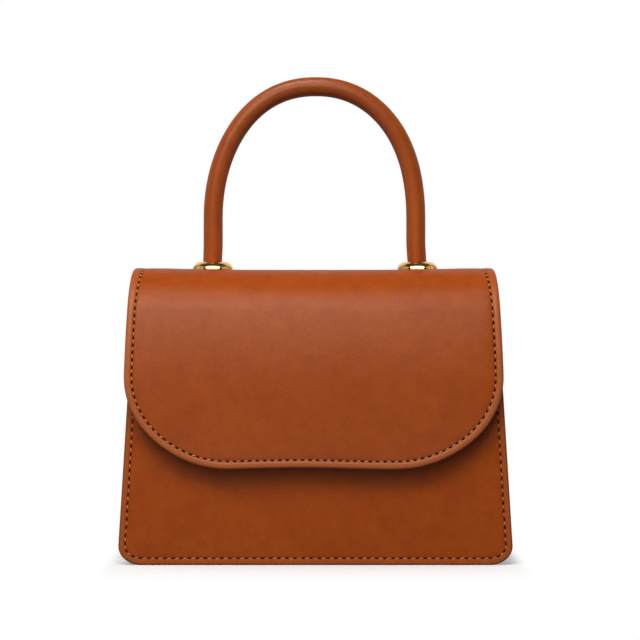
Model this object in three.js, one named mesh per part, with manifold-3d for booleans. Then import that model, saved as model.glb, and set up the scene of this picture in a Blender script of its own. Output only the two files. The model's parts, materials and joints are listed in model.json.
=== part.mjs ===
// A small structured top-handle bag in smooth leather, closed by a flap with a hidden magnetic snap.
// Millimetres, +Z up. The front of the bag faces -Y, and the bag stands on z = 0.
import * as THREE from "three";
import { mergeVertices } from "three/addons/utils/BufferGeometryUtils.js";
import Module from "manifold-3d";

const wasm = await Module();
wasm.setup();

// Body
const baseWidth = 202.4; // panel sides, extended to the floor
const rimWidth = 185.6; // panel sides at the rim
const baseDepth = 86; // outside of the front panel to outside of the back panel, at the floor
const rimDepth = 70; // the same, at the rim
const rimHeight = 146.4; // top edge of the back panel and the gussets
const frontRimClearance = 3; // from the front panel's top edge up to the flap's fold
const bottomCorner = 10.5; // rounded bottom corners of the panels
const innerCorner = 3; // smallest corner of the layers inside
const seamFlange = 5.2; // width of the turned-out seam around the panels
const seamHeight = 18; // the gusset strips are joined to the base strip here

// Leather, lining and boards
const panelLeather = 1.8;
const gussetLeather = 1.6;
const stiffener = 1.2;
const lining = 0.8;
const baseBoard = 1.6;
const stiffenerMargin = 0.6; // stiffeners and the base board stop this far short of the seam
const gap = 0.3; // between pieces that lie on each other

// Slip pocket on the back lining
const pocketWidth = 104;
const pocketFoot = 40; // above the floor
const pocketHeight = 62;

// Bridge under the crown of the flap, which carries the handle
const bridgeLip = 15; // from the handle forward to the bridge's edge, where the flap lifts
const bridgeBoard = 2.4;
const bridgeInset = 2.2; // the board is this much narrower than the flap on each side
const crownLeather = 1.8;
const crownInnerCorner = 1; // inside radius where the crown turns down the back
const tailLength = 46.4; // the flap's tail, sewn to the back panel below the rim
const tailInset = 7.5; // from the panel's sides to the tail's
const tailCorner = 16;
const anchorMargin = 12.9; // plate beyond the centres of the screws
const anchorWidth = 16;
const anchorPlate = 1.5;

// Flap
const flapLeather = 1.6;
const flapFiller = 0.9;
const flapLining = 1.0;
const crownInset = 0.2; // from the panel's sides to the flap's, at the crown
const flapOverhang = 0.74; // the flap's sides past the panel's, at the flap's widest
const flapWidestDrop = 51.2; // from the crown down to the widest line
const flapDrop = 101.2; // from the crown down to the flap's lowest edge
const flapCornerX = 52; // flap's lower corners, elliptical
const flapCornerZ = 47;
const flapFold = 26; // outside radius of the fold over the front
const fillerInset = 4.6; // filler stops at the stitch line
const liningInset = 1.2; // the leather's edge laps the lining
const hingeCut = 0.2; // half the cut between the flap's parts at a bend line

// Handle
const handleToBack = 19; // from the rim of the back panel
const handleSpacing = 108.2; // between the centres of the legs
const handleDiameter = 9.7;
const handleLeather = 1.4;
const handleLeg = 34.8; // straight part of each leg
const archRise = 63.1; // centre line of the arch above the legs

// Handle fixing
const collarShoulder = 4.2; // rounded outer shoulder of the collar
const collarFlat = 0.15; // flat ring on its top
const collarLip = 1.5; // rounded inner lip of the collar
const collarFoot = 0.7; // straight edge below the shoulder
const insertLength = 16;
const insertWall = 0.85;
const insertEnd = 4; // solid end of the insert, above its bore
const screwRelief = 2.5; // between the screw's tip and the end of the bore
const screwHeadLap = 2; // the screw's head is this much wider than its shank, all round
const screwHead = 2.4;

// Magnetic snap
const snapRise = 14; // centre of the snap above the flap's lowest edge
const snapRadius = 7.5;
const socketHeight = 2.6;
const socketRecessRadius = 4.3;
const socketRecess = 1.7;
const studDisc = 1.4;
const studNubRadius = 3;
const studNub = 1.3;
const snapStemRadius = 2;
const snapWasher = 0.7;
const snapWasherRadius = 8;

// Strap rings on the gussets
const tabSlack = 1; // between the tab's edges and the ring, on each side
const tabLeather = 1.1;
const tabLength = 24;
const ringBelowRim = 15.4; // the ring's bar, down from the rim
const ringWire = 2.2;
const ringInnerWidth = 13;
const ringDrop = 11.5; // from the bar to the bottom of the bow
const ringTilt = THREE.MathUtils.degToRad(8); // the ring leans out over its tab

// Fineness of round shapes
const curveSteps = 8;
const shoulderSteps = 5;
const lipSteps = 3;
const latheSides = 28;
const boltSides = 20;
const wrapSides = 12;
const wrapSteps = 38;
const coreSides = 8;
const coreSteps = 30;
const ringSides = 6;
const ringSteps = 40;
const spare = 10; // cutting tools reach this far past what they cut

// Places that follow from those sizes
const lean = Math.atan((baseDepth - rimDepth) / 2 / rimHeight);
const sideLean = Math.atan((baseWidth - rimWidth) / 2 / rimHeight);
const flangeDepth = panelLeather + gap;
const liningDepth = flangeDepth + stiffener + gap + snapWasher + gap;
const liningInner = liningDepth + lining;
const webInner = seamFlange + gussetLeather;
const sideLining = webInner + gap;
const boardTop = webInner + gap + baseBoard;
const liningFoot = (boardTop + gap + liningInner * Math.sin(lean)) / Math.cos(lean);
const bridgeBottom = rimHeight + gap;
const bridgeTop = bridgeBottom + bridgeBoard;
const crownBottom = bridgeTop + gap;
const crownTop = crownBottom + crownLeather;
const crownCorner = crownInnerCorner + crownLeather;
const crownTurnZ = crownTop - crownCorner;
const crownTurnY = wallY(crownTurnZ, -gap - crownLeather) - crownCorner;
const tailBottom = rimHeight - tailLength;
const handleY = rimDepth / 2 - handleToBack;
const hingeY = handleY - bridgeLip;
const anchorBottom = rimHeight - anchorPlate;
const headBottom = anchorBottom - gap - screwHead;
const flapGap = gap + socketHeight + gap + studDisc + gap;
const fillerDepth = flapLeather + gap;
const flapLiningDepth = fillerDepth + flapFiller + gap;
const flapThickness = flapLiningDepth + flapLining;
const standOff = flapGap + flapThickness; // panel face to flap face
const flapBottom = crownTop - flapDrop;
const flapWidest = crownTop - flapWidestDrop;
const flapTopHalf = panelHalfWidth(rimHeight) - crownInset;
const flapHalf = panelHalfWidth(flapWidest) + flapOverhang;
const snapHeight = flapBottom + snapRise;
const foldCentreZ = crownTop - flapFold;
const foldCentreY = flapFold / Math.cos(lean) - flapFaceDepth(foldCentreZ);
const foldMiddle = (Math.PI / 2 - lean) / 2; // half of the fold's turn
const foldRoom = Math.sqrt((flapFold - flapThickness) ** 2 - (flapFold - standOff) ** 2);
const frontRimHeight = foldCentreZ + foldRoom - frontRimClearance; // front panel's top edge
const wrapRadius = handleDiameter / 2;
const wrapInner = wrapRadius - handleLeather;
const handleFoot = crownTop + gap;
const archBase = handleFoot + handleLeg;
const insertRadius = wrapInner - gap;
const boreRadius = insertRadius - insertWall;
const screwRadius = boreRadius - gap;
const ringHeight = rimHeight - ringBelowRim;
const tabWidth = ringInnerWidth - 2 * tabSlack;

// Half the panel's width at a height
function panelHalfWidth(z) {
  return baseWidth / 2 - z * Math.tan(sideLean);
}

// Distance of the panel's outer face from the middle plane, less a depth into the wall
function wallY(z, depth) {
  return baseDepth / 2 - z * Math.tan(lean) - depth / Math.cos(lean);
}

// Distance of the flap's outer face from the middle plane
function flapFaceDepth(z) {
  return wallY(z, -standOff);
}

// Materials
function finish(color, roughness, metalness = 0) {
  return new THREE.MeshStandardMaterial({ color, roughness, metalness });
}
const tanLeather = finish(0x9c4a22, 0.5);
const suede = finish(0xb98a5e, 0.9);
const board = finish(0x8a7a66, 0.85);
const foam = finish(0x6b5a4a, 0.95);
const cotton = finish(0xd8ccb4, 0.9);
const gold = finish(0xd9a552, 0.15, 1);
const steel = finish(0x9a9a9c, 0.35, 1);

// Shapes become solids for cutting and joining, and go back to geometry
function toSolid(geometry) {
  const bare = geometry.index ? geometry.toNonIndexed() : geometry.clone();
  bare.deleteAttribute("normal");
  bare.deleteAttribute("uv");
  const merged = mergeVertices(bare, 1e-4);
  const vertProperties = merged.attributes.position.array;
  const triVerts = new Uint32Array(merged.index.array);
  return new wasm.Manifold(new wasm.Mesh({ numProp: 3, vertProperties, triVerts }));
}

function toGeometry(solid) {
  const made = solid.getMesh();
  const geometry = new THREE.BufferGeometry();
  geometry.setAttribute("position", new THREE.BufferAttribute(made.vertProperties, 3));
  geometry.setIndex(new THREE.BufferAttribute(made.triVerts, 1));
  geometry.computeVertexNormals();
  return geometry;
}

function plate(shape, thickness) {
  return new THREE.ExtrudeGeometry(shape, {
    depth: thickness,
    bevelEnabled: false,
    curveSegments: curveSteps,
  });
}

function lathe(profile, segments) {
  const points = profile.map(([r, z]) => new THREE.Vector2(r, z));
  return new THREE.LatheGeometry(points, segments).rotateX(Math.PI / 2);
}

function block(low, high) {
  const size = high.map((value, axis) => value - low[axis]);
  const middle = high.map((value, axis) => (value + low[axis]) / 2);
  return toSolid(new THREE.BoxGeometry(...size).translate(...middle));
}

function rod(radius, low, high, x, y) {
  const turned = new THREE.CylinderGeometry(radius, radius, high - low, 2 * curveSteps);
  return toSolid(turned.rotateX(Math.PI / 2).translate(x, y, (low + high) / 2));
}

// Frames: a panel's own plane, with local Y up the panel and local Z out of the bag
function basis(x, y, z, origin) {
  return new THREE.Matrix4().makeBasis(x, y, z).setPosition(origin);
}
const halfTurn = new THREE.Matrix4().makeRotationZ(Math.PI);
const frontFrame = new THREE.Matrix4()
  .makeRotationX(Math.PI / 2 - lean)
  .setPosition(0, -baseDepth / 2, 0);
const backFrame = halfTurn.clone().multiply(frontFrame);
const rightFrame = basis(
  new THREE.Vector3(0, 1, 0),
  new THREE.Vector3(-Math.sin(sideLean), 0, Math.cos(sideLean)),
  new THREE.Vector3(Math.cos(sideLean), 0, Math.sin(sideLean)),
  new THREE.Vector3(baseWidth / 2, 0, 0),
);
const leftFrame = halfTurn.clone().multiply(rightFrame);
const acrossDepth = new THREE.Matrix4().makeRotationX(Math.PI / 2); // x, z outlines run along Y
const acrossWidth = basis(
  new THREE.Vector3(0, 1, 0),
  new THREE.Vector3(0, 0, 1),
  new THREE.Vector3(1, 0, 0),
  new THREE.Vector3(),
); // y, z outlines run along X

function runThrough(shape, length, matrix) {
  return plate(shape, length).translate(0, 0, -length / 2).applyMatrix4(matrix);
}

function throughDepth(shape) {
  return toSolid(runThrough(shape, 2 * baseDepth, acrossDepth));
}

function throughWidth(shape) {
  return toSolid(runThrough(shape, 2 * baseWidth, acrossWidth));
}

function layer(shape, depth, thickness, frame) {
  return plate(shape, thickness).translate(0, 0, -depth - thickness).applyMatrix4(frame);
}

function outline(points) {
  return new THREE.Shape(points.map(([a, b]) => new THREE.Vector2(a, b)));
}

function circle(radius, x = 0, y = 0) {
  return new THREE.Shape().absarc(x, y, radius, 0, 2 * Math.PI);
}

const bag = new THREE.Group();

function add(name, made, material) {
  const geometry = made.isBufferGeometry ? made : toGeometry(made);
  const mesh = new THREE.Mesh(geometry, material);
  mesh.name = name;
  bag.add(mesh);
}

// The panel's outline: sides that close in towards the rim, and rounded bottom corners
function bagOutline(inset, bottom, top) {
  const half = (z) => panelHalfWidth(z) - inset / Math.cos(sideLean);
  const radius = Math.max(bottomCorner - inset, innerCorner);
  const shape = new THREE.Shape();
  shape.moveTo(-half(top), top);
  shape.lineTo(-half(bottom + radius), bottom + radius);
  shape.quadraticCurveTo(-half(bottom), bottom, radius - half(bottom), bottom);
  shape.lineTo(half(bottom) - radius, bottom);
  shape.quadraticCurveTo(half(bottom), bottom, half(bottom + radius), bottom + radius);
  shape.lineTo(half(top), top);
  shape.closePath();
  return shape;
}

// The room between the two walls, a depth into each, up to the sloping rim
function betweenWalls(depth) {
  return throughWidth(
    outline([
      [-wallY(0, depth), 0],
      [wallY(0, depth), 0],
      [wallY(rimHeight, depth), rimHeight],
      [foldCentreY, rimHeight],
      [-wallY(frontRimHeight, depth), frontRimHeight],
    ]),
  );
}

const aboveFloor = block([-baseWidth, -baseDepth, 0], [baseWidth, baseDepth, 2 * rimHeight]);

// Front and back walls
function wall(side, frame, top, snapHole) {
  const skin = bagOutline(0, 0, top / Math.cos(lean));
  const stiff = bagOutline(
    webInner + stiffenerMargin,
    webInner + stiffenerMargin,
    top / Math.cos(lean) - stiffenerMargin,
  );
  const liner = bagOutline(sideLining, liningFoot, top / Math.cos(lean));
  if (snapHole) {
    skin.holes.push(circle(snapStemRadius + gap, 0, snapHeight));
    stiff.holes.push(circle(snapStemRadius + gap, 0, snapHeight));
  }
  const leather = toSolid(layer(skin, 0, panelLeather, frame)).intersect(aboveFloor);
  add(`${side}_panel`, leather, tanLeather);
  add(`${side}_stiffener`, layer(stiff, flangeDepth, stiffener, frame), board);
  add(`${side}_lining`, layer(liner, liningDepth, lining, frame), suede);
}
wall("front", frontFrame, frontRimHeight, true);
wall("back", backFrame, rimHeight, false);

// A strip that runs down one side, under the base and up the other side
function strip(inset, bottom, thickness, depth) {
  const outer = throughDepth(bagOutline(inset, bottom, rimHeight + spare));
  const inner = throughDepth(bagOutline(inset + thickness, bottom + thickness, rimHeight + 2 * spare));
  return outer.subtract(inner).intersect(betweenWalls(depth));
}

// The strip's edge, turned out flat behind a panel and sewn to it
function seamAllowance(frame, top) {
  const height = top / Math.cos(lean);
  const whole = toSolid(layer(bagOutline(0, 0, height), flangeDepth, gussetLeather, frame));
  const middle = bagOutline(webInner, webInner, height + spare);
  const inside = toSolid(layer(middle, flangeDepth - gap, gussetLeather + 2 * gap, frame));
  return whole.subtract(inside).intersect(aboveFloor);
}

// The strip is three lengths, joined at the foot of each side
function addLengths(solid, names, material) {
  const low = seamHeight - gap / 2;
  const high = seamHeight + gap / 2;
  const wide = baseWidth;
  const tall = 2 * rimHeight;
  add(names.left, solid.intersect(block([-wide, -wide, high], [0, wide, tall])), material);
  add(names.right, solid.intersect(block([0, -wide, high], [wide, wide, tall])), material);
  add(names.base, solid.intersect(block([-wide, -wide, -spare], [wide, wide, low])), material);
}

addLengths(
  strip(seamFlange, seamFlange, gussetLeather, flangeDepth)
    .add(seamAllowance(frontFrame, frontRimHeight))
    .add(seamAllowance(backFrame, rimHeight)),
  { left: "left_gusset", right: "right_gusset", base: "base_panel" },
  tanLeather,
);
addLengths(
  strip(sideLining, boardTop + gap, lining, liningInner + gap),
  { left: "left_lining", right: "right_lining", base: "base_lining" },
  suede,
);

function addBaseBoard() {
  const inset = webInner + stiffenerMargin;
  const low = webInner + gap;
  const flat = block([-baseWidth, -baseDepth, low], [baseWidth, baseDepth, boardTop]);
  const room = throughDepth(bagOutline(inset, low, rimHeight));
  add("base_board", room.intersect(flat).intersect(betweenWalls(liningDepth)), board);
}
addBaseBoard();

function addSlipPocket() {
  const shape = outline([
    [-pocketWidth / 2, pocketFoot],
    [pocketWidth / 2, pocketFoot],
    [pocketWidth / 2, pocketFoot + pocketHeight],
    [-pocketWidth / 2, pocketFoot + pocketHeight],
  ]);
  add("slip_pocket", layer(shape, liningInner + gap, lining, backFrame), suede);
}
addSlipPocket();

// Flap, seen from the front: it widens downwards, and its lower corners are elliptical
function flapOutline(inset) {
  const half = flapHalf - inset;
  const topHalf = flapTopHalf - inset;
  const bottom = flapBottom + inset;
  const cornerX = flapCornerX - inset;
  const cornerZ = flapCornerZ - inset;
  const shape = new THREE.Shape();
  shape.moveTo(-topHalf, crownTop + gap);
  shape.lineTo(-half, flapWidest);
  shape.lineTo(-half, bottom + cornerZ);
  shape.absellipse(cornerX - half, bottom + cornerZ, cornerX, cornerZ, Math.PI, 1.5 * Math.PI);
  shape.absellipse(half - cornerX, bottom + cornerZ, cornerX, cornerZ, 1.5 * Math.PI, 2 * Math.PI);
  shape.lineTo(half, flapWidest);
  shape.lineTo(topHalf, crownTop + gap);
  shape.closePath();
  return shape;
}

// Section of a flap layer from the bridge to the middle of the fold
function lidSection(depth, thickness) {
  const outer = flapFold - depth;
  const inner = outer - thickness;
  const start = Math.PI / 2;
  const end = start + foldMiddle - hingeCut / flapFold;
  const shape = new THREE.Shape();
  shape.moveTo(hingeY - hingeCut, crownTop - depth);
  shape.absarc(foldCentreY, foldCentreZ, outer, start, end);
  shape.absarc(foldCentreY, foldCentreZ, inner, end, start, true);
  shape.lineTo(hingeY - hingeCut, crownTop - depth - thickness);
  shape.closePath();
  return shape;
}

// Section of a flap layer from the middle of the fold down the front
function frontSection(depth, thickness) {
  const outer = flapFold - depth;
  const inner = outer - thickness;
  const start = Math.PI / 2 + foldMiddle + hingeCut / flapFold;
  const end = Math.PI - lean;
  const floor = flapBottom - spare;
  const shape = new THREE.Shape();
  shape.absarc(foldCentreY, foldCentreZ, outer, start, end);
  shape.lineTo(-wallY(floor, depth - standOff), floor);
  shape.lineTo(-wallY(floor, depth + thickness - standOff), floor);
  shape.absarc(foldCentreY, foldCentreZ, inner, end, start, true);
  shape.closePath();
  return shape;
}

function snapHoleCutter(radius) {
  const length = 2 * standOff;
  const hole = plate(circle(radius, 0, snapHeight), length).applyMatrix4(frontFrame);
  return toSolid(hole);
}

function addFlap() {
  const layers = [
    { name: "leather", depth: 0, thickness: flapLeather, inset: 0, material: tanLeather },
    {
      name: "filler",
      depth: fillerDepth,
      thickness: flapFiller,
      inset: fillerInset,
      material: foam,
      hole: snapWasherRadius + gap,
    },
    {
      name: "lining",
      depth: flapLiningDepth,
      thickness: flapLining,
      inset: liningInset,
      material: suede,
      hole: snapStemRadius + gap,
    },
  ];
  for (const { name, depth, thickness, inset, material, hole } of layers) {
    const cut = throughDepth(flapOutline(inset));
    add(`flap_lid_${name}`, throughWidth(lidSection(depth, thickness)).intersect(cut), material);
    const front = throughWidth(frontSection(depth, thickness)).intersect(cut);
    add(`flap_front_${name}`, hole ? front.subtract(snapHoleCutter(hole)) : front, material);
  }
}
addFlap();

// Crown: the flap's leather over the bridge, turned down the back and sewn there as its tail
function crownSection() {
  const inside = -gap;
  const outside = -gap - crownLeather;
  const shape = new THREE.Shape();
  shape.moveTo(hingeY + hingeCut, crownTop);
  shape.lineTo(hingeY + hingeCut, crownBottom);
  shape.absarc(crownTurnY, crownTurnZ, crownCorner - crownLeather, Math.PI / 2, lean, true);
  shape.lineTo(wallY(tailBottom - spare, inside), tailBottom - spare);
  shape.lineTo(wallY(tailBottom - spare, outside), tailBottom - spare);
  shape.absarc(crownTurnY, crownTurnZ, crownCorner, lean, Math.PI / 2);
  shape.closePath();
  return shape;
}

function tailOutline() {
  const half = panelHalfWidth(tailBottom) - tailInset;
  const topHalf = flapTopHalf;
  const shape = new THREE.Shape();
  shape.moveTo(-topHalf, crownTop + gap);
  shape.lineTo(-topHalf, rimHeight);
  shape.lineTo(-half, tailBottom + tailCorner);
  shape.quadraticCurveTo(-half, tailBottom, tailCorner - half, tailBottom);
  shape.lineTo(half - tailCorner, tailBottom);
  shape.quadraticCurveTo(half, tailBottom, half, tailBottom + tailCorner);
  shape.lineTo(topHalf, rimHeight);
  shape.lineTo(topHalf, crownTop + gap);
  shape.closePath();
  return shape;
}

function screwHoles(low, high) {
  const holes = [-1, 1].map((side) =>
    rod(screwRadius + gap, low - gap, high + gap, (side * handleSpacing) / 2, handleY),
  );
  return holes[0].add(holes[1]);
}

function addBridge() {
  const crown = throughWidth(crownSection())
    .intersect(throughDepth(tailOutline()))
    .subtract(screwHoles(crownBottom, crownTop));
  add("flap_crown", crown, tanLeather);

  const boardHalf = flapTopHalf - bridgeInset;
  const bridgeBlock = block(
    [-boardHalf, hingeY + gap, bridgeBottom],
    [boardHalf, crownTurnY + gap, bridgeTop],
  );
  add("bridge_board", bridgeBlock.subtract(screwHoles(bridgeBottom, bridgeTop)), board);

  const anchorHalf = handleSpacing / 2 + anchorMargin;
  const anchorBlock = block(
    [-anchorHalf, handleY - anchorWidth / 2, anchorBottom],
    [anchorHalf, handleY + anchorWidth / 2, rimHeight],
  );
  add("anchor_plate", anchorBlock.subtract(screwHoles(anchorBottom, rimHeight)), steel);

  // Lining that closes the bridge below and in front
  const trayTop = headBottom - gap;
  const front = hingeY + gap;
  const back = wallY(rimHeight, liningInner + gap);
  const tray = throughWidth(
    outline([
      [front, trayTop - lining],
      [back, trayTop - lining],
      [back, trayTop],
      [front + lining, trayTop],
      [front + lining, rimHeight],
      [front, rimHeight],
    ]),
  );
  const room = throughDepth(bagOutline(sideLining + lining + gap, 0, rimHeight + spare));
  add("bridge_lining", tray.intersect(room), suede);
}
addBridge();

// Centre line of the handle: a straight leg, half an ellipse, a straight leg
class HandleLine extends THREE.Curve {
  constructor(foot) {
    super();
    this.leg = archBase - foot;
    this.foot = foot;
    this.arch = (Math.PI / 2) * Math.sqrt((handleSpacing ** 2 / 4 + archRise ** 2) * 2);
  }

  getPoint(share, target = new THREE.Vector3()) {
    const half = handleSpacing / 2;
    const along = share * (2 * this.leg + this.arch);
    if (along <= this.leg) return target.set(-half, handleY, this.foot + along);
    if (along >= this.leg + this.arch) {
      return target.set(half, handleY, archBase - (along - this.leg - this.arch));
    }
    const angle = (Math.PI * (along - this.leg)) / this.arch;
    return target.set(-half * Math.cos(angle), handleY, archBase + archRise * Math.sin(angle));
  }
}

function tubeAlong(section, line, steps, sides) {
  return new THREE.ExtrudeGeometry(section, {
    extrudePath: line,
    steps,
    curveSegments: sides / 2,
    bevelEnabled: false,
  });
}

function addHandle() {
  const skin = circle(wrapRadius);
  skin.holes.push(circle(wrapInner));
  add("handle_wrap", tubeAlong(skin, new HandleLine(handleFoot), wrapSteps, wrapSides), tanLeather);
  const coreFoot = handleFoot + insertLength + gap;
  const core = circle(wrapInner - gap);
  add("handle_core", tubeAlong(core, new HandleLine(coreFoot), coreSteps, coreSides), cotton);
}
addHandle();

// Collar section: a flat foot, a round outer shoulder and a small round lip at the handle
function collarProfile() {
  const inner = wrapRadius + gap;
  const outer = inner + collarLip + collarFlat + collarShoulder;
  const height = collarFoot + collarShoulder;
  const quarter = (centreR, radius, from, steps) =>
    Array.from({ length: steps + 1 }, (_, step) => {
      const angle = from + (Math.PI / 2) * (step / steps);
      return [centreR + radius * Math.cos(angle), height - radius + radius * Math.sin(angle)];
    });
  return [
    [inner, 0],
    [outer, 0],
    ...quarter(outer - collarShoulder, collarShoulder, 0, shoulderSteps),
    ...quarter(inner + collarLip, collarLip, Math.PI / 2, lipSteps),
    [inner, 0],
  ];
}

function addHandleFixings() {
  for (const [side, sign] of [
    ["left", -1],
    ["right", 1],
  ]) {
    const x = (sign * handleSpacing) / 2;
    add(`${side}_collar`, lathe(collarProfile(), latheSides).translate(x, handleY, handleFoot), gold);

    const boreEnd = insertLength - insertEnd;
    const insert = [
      [boreRadius, 0],
      [insertRadius, 0],
      [insertRadius, insertLength],
      [0, insertLength],
      [0, boreEnd],
      [boreRadius, boreEnd],
      [boreRadius, 0],
    ];
    add(`${side}_handle_insert`, lathe(insert, boltSides).translate(x, handleY, handleFoot), steel);

    const headTop = anchorBottom - gap;
    const headRadius = screwRadius + screwHeadLap;
    const tip = handleFoot + boreEnd - screwRelief;
    const screw = [
      [0, headBottom],
      [headRadius, headBottom],
      [headRadius, headTop],
      [screwRadius, headTop],
      [screwRadius, tip],
      [0, tip],
    ];
    add(`${side}_handle_screw`, lathe(screw, boltSides).translate(x, handleY, 0), steel);
  }
}
addHandleFixings();

// Magnetic snap: a socket on the front panel and a stud on the flap's lining, each on a washer
function addSnap() {
  const inFront = (geometry) => geometry.translate(0, snapHeight, 0).applyMatrix4(frontFrame);
  const socketFace = gap + socketHeight;
  const washerDepth = flangeDepth + stiffener + gap;
  const socket = [
    [0, -washerDepth - snapWasher],
    [snapStemRadius, -washerDepth - snapWasher],
    [snapStemRadius, gap],
    [snapRadius, gap],
    [snapRadius, socketFace],
    [socketRecessRadius, socketFace],
    [socketRecessRadius, socketFace - socketRecess],
    [0, socketFace - socketRecess],
  ];
  add("snap_socket", inFront(lathe(socket, latheSides)), gold);

  const studFace = socketFace + gap;
  const studBack = studFace + studDisc;
  const studWasherFoot = flapGap + flapLining + gap;
  const stud = [
    [0, studFace - studNub],
    [studNubRadius - gap, studFace - studNub],
    [studNubRadius, studFace],
    [snapRadius, studFace],
    [snapRadius, studBack],
    [snapStemRadius, studBack],
    [snapStemRadius, studWasherFoot + snapWasher],
    [0, studWasherFoot + snapWasher],
  ];
  add("snap_stud", inFront(lathe(stud, latheSides)), gold);

  const washer = (foot) => [
    [snapStemRadius + gap, foot],
    [snapWasherRadius, foot],
    [snapWasherRadius, foot + snapWasher],
    [snapStemRadius + gap, foot + snapWasher],
    [snapStemRadius + gap, foot],
  ];
  add("snap_socket_washer", inFront(lathe(washer(-washerDepth - snapWasher), latheSides)), steel);
  add("snap_stud_washer", inFront(lathe(washer(studWasherFoot), latheSides)), steel);
}
addSnap();

// Strap rings: a folded tab sewn to each gusset, with a ring hanging from its loop
function tabSection() {
  const back = gap - seamFlange;
  const hole = ringWire / 2 + gap;
  const loop = hole + tabLeather;
  const centre = back + loop;
  const bottom = ringHeight + loop - tabLength;
  const shape = new THREE.Shape();
  shape.moveTo(bottom, back);
  shape.absarc(ringHeight, centre, loop, -Math.PI / 2, (3 / 4) * Math.PI);
  shape.lineTo(ringHeight - 2 * loop, back + 2 * tabLeather);
  shape.lineTo(bottom, back + 2 * tabLeather);
  shape.closePath();
  shape.holes.push(circle(hole, ringHeight, centre));
  return shape;
}

// A D: a straight bar along the top and a round bow hanging below it
function ringLine() {
  const half = (ringInnerWidth + ringWire) / 2;
  const corner = ringWire;
  const path = new THREE.Path();
  path.moveTo(0, 0);
  path.lineTo(half - corner, 0);
  path.quadraticCurveTo(half, 0, half, -corner);
  path.absellipse(0, -corner, half, ringDrop - corner, 0, -Math.PI, true);
  path.quadraticCurveTo(-half, 0, corner - half, 0);
  path.lineTo(0, 0);
  const points = path.getSpacedPoints(ringSteps).slice(0, -1);
  return new THREE.CatmullRomCurve3(
    points.map(({ x, y }) => new THREE.Vector3(x, y, 0)),
    true,
  );
}

function addStrapRings() {
  const barOut = gap - seamFlange + ringWire / 2 + gap + tabLeather;
  for (const [side, frame] of [
    ["left", leftFrame],
    ["right", rightFrame],
  ]) {
    const tab = runThrough(tabSection(), tabWidth, acrossWidth).applyMatrix4(frame);
    add(`${side}_ring_tab`, tab, tanLeather);
    const ring = new THREE.TubeGeometry(ringLine(), ringSteps, ringWire / 2, ringSides, true)
      .rotateX(-ringTilt)
      .translate(0, ringHeight, barOut)
      .applyMatrix4(frame);
    add(`${side}_strap_ring`, ring, gold);
  }
}
addStrapRings();

// The origin is at the middle of the bag's outline on the floor
bag.position.y = (flapFaceDepth(flapBottom) - wallY(0, 0)) / 2;

export default bag;
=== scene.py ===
import json
from math import atan, cos, pi, radians, sin, tan

import bpy
import numpy as np
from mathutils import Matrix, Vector, kdtree


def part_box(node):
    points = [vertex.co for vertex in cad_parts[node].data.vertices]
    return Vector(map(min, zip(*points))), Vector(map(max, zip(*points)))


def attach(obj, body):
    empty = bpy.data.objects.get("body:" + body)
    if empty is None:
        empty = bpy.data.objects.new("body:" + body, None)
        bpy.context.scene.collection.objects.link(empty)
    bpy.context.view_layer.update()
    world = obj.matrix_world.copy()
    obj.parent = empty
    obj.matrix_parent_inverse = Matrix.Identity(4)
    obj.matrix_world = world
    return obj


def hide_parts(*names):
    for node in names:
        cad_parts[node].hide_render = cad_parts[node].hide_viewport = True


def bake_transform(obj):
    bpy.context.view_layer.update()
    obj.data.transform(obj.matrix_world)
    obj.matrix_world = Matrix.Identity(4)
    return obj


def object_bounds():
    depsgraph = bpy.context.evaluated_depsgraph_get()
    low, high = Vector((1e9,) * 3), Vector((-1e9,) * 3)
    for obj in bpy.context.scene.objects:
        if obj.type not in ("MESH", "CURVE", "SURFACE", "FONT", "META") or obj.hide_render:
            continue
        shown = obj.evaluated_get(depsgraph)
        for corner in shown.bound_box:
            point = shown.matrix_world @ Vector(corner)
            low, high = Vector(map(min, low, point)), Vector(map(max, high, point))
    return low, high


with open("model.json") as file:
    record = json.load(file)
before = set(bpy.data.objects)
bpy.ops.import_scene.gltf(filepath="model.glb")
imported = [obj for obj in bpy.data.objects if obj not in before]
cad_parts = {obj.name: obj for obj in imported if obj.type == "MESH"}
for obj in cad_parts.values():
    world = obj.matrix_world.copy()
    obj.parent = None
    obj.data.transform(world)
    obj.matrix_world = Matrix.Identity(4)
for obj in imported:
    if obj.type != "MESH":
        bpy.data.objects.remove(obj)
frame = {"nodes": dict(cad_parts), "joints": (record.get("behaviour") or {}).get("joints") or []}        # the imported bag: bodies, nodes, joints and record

cadBox = [list(corner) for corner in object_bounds()]
mm = 0.001
sides = ((-1, "left"), (1, "right"))


# camera and studio

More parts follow.
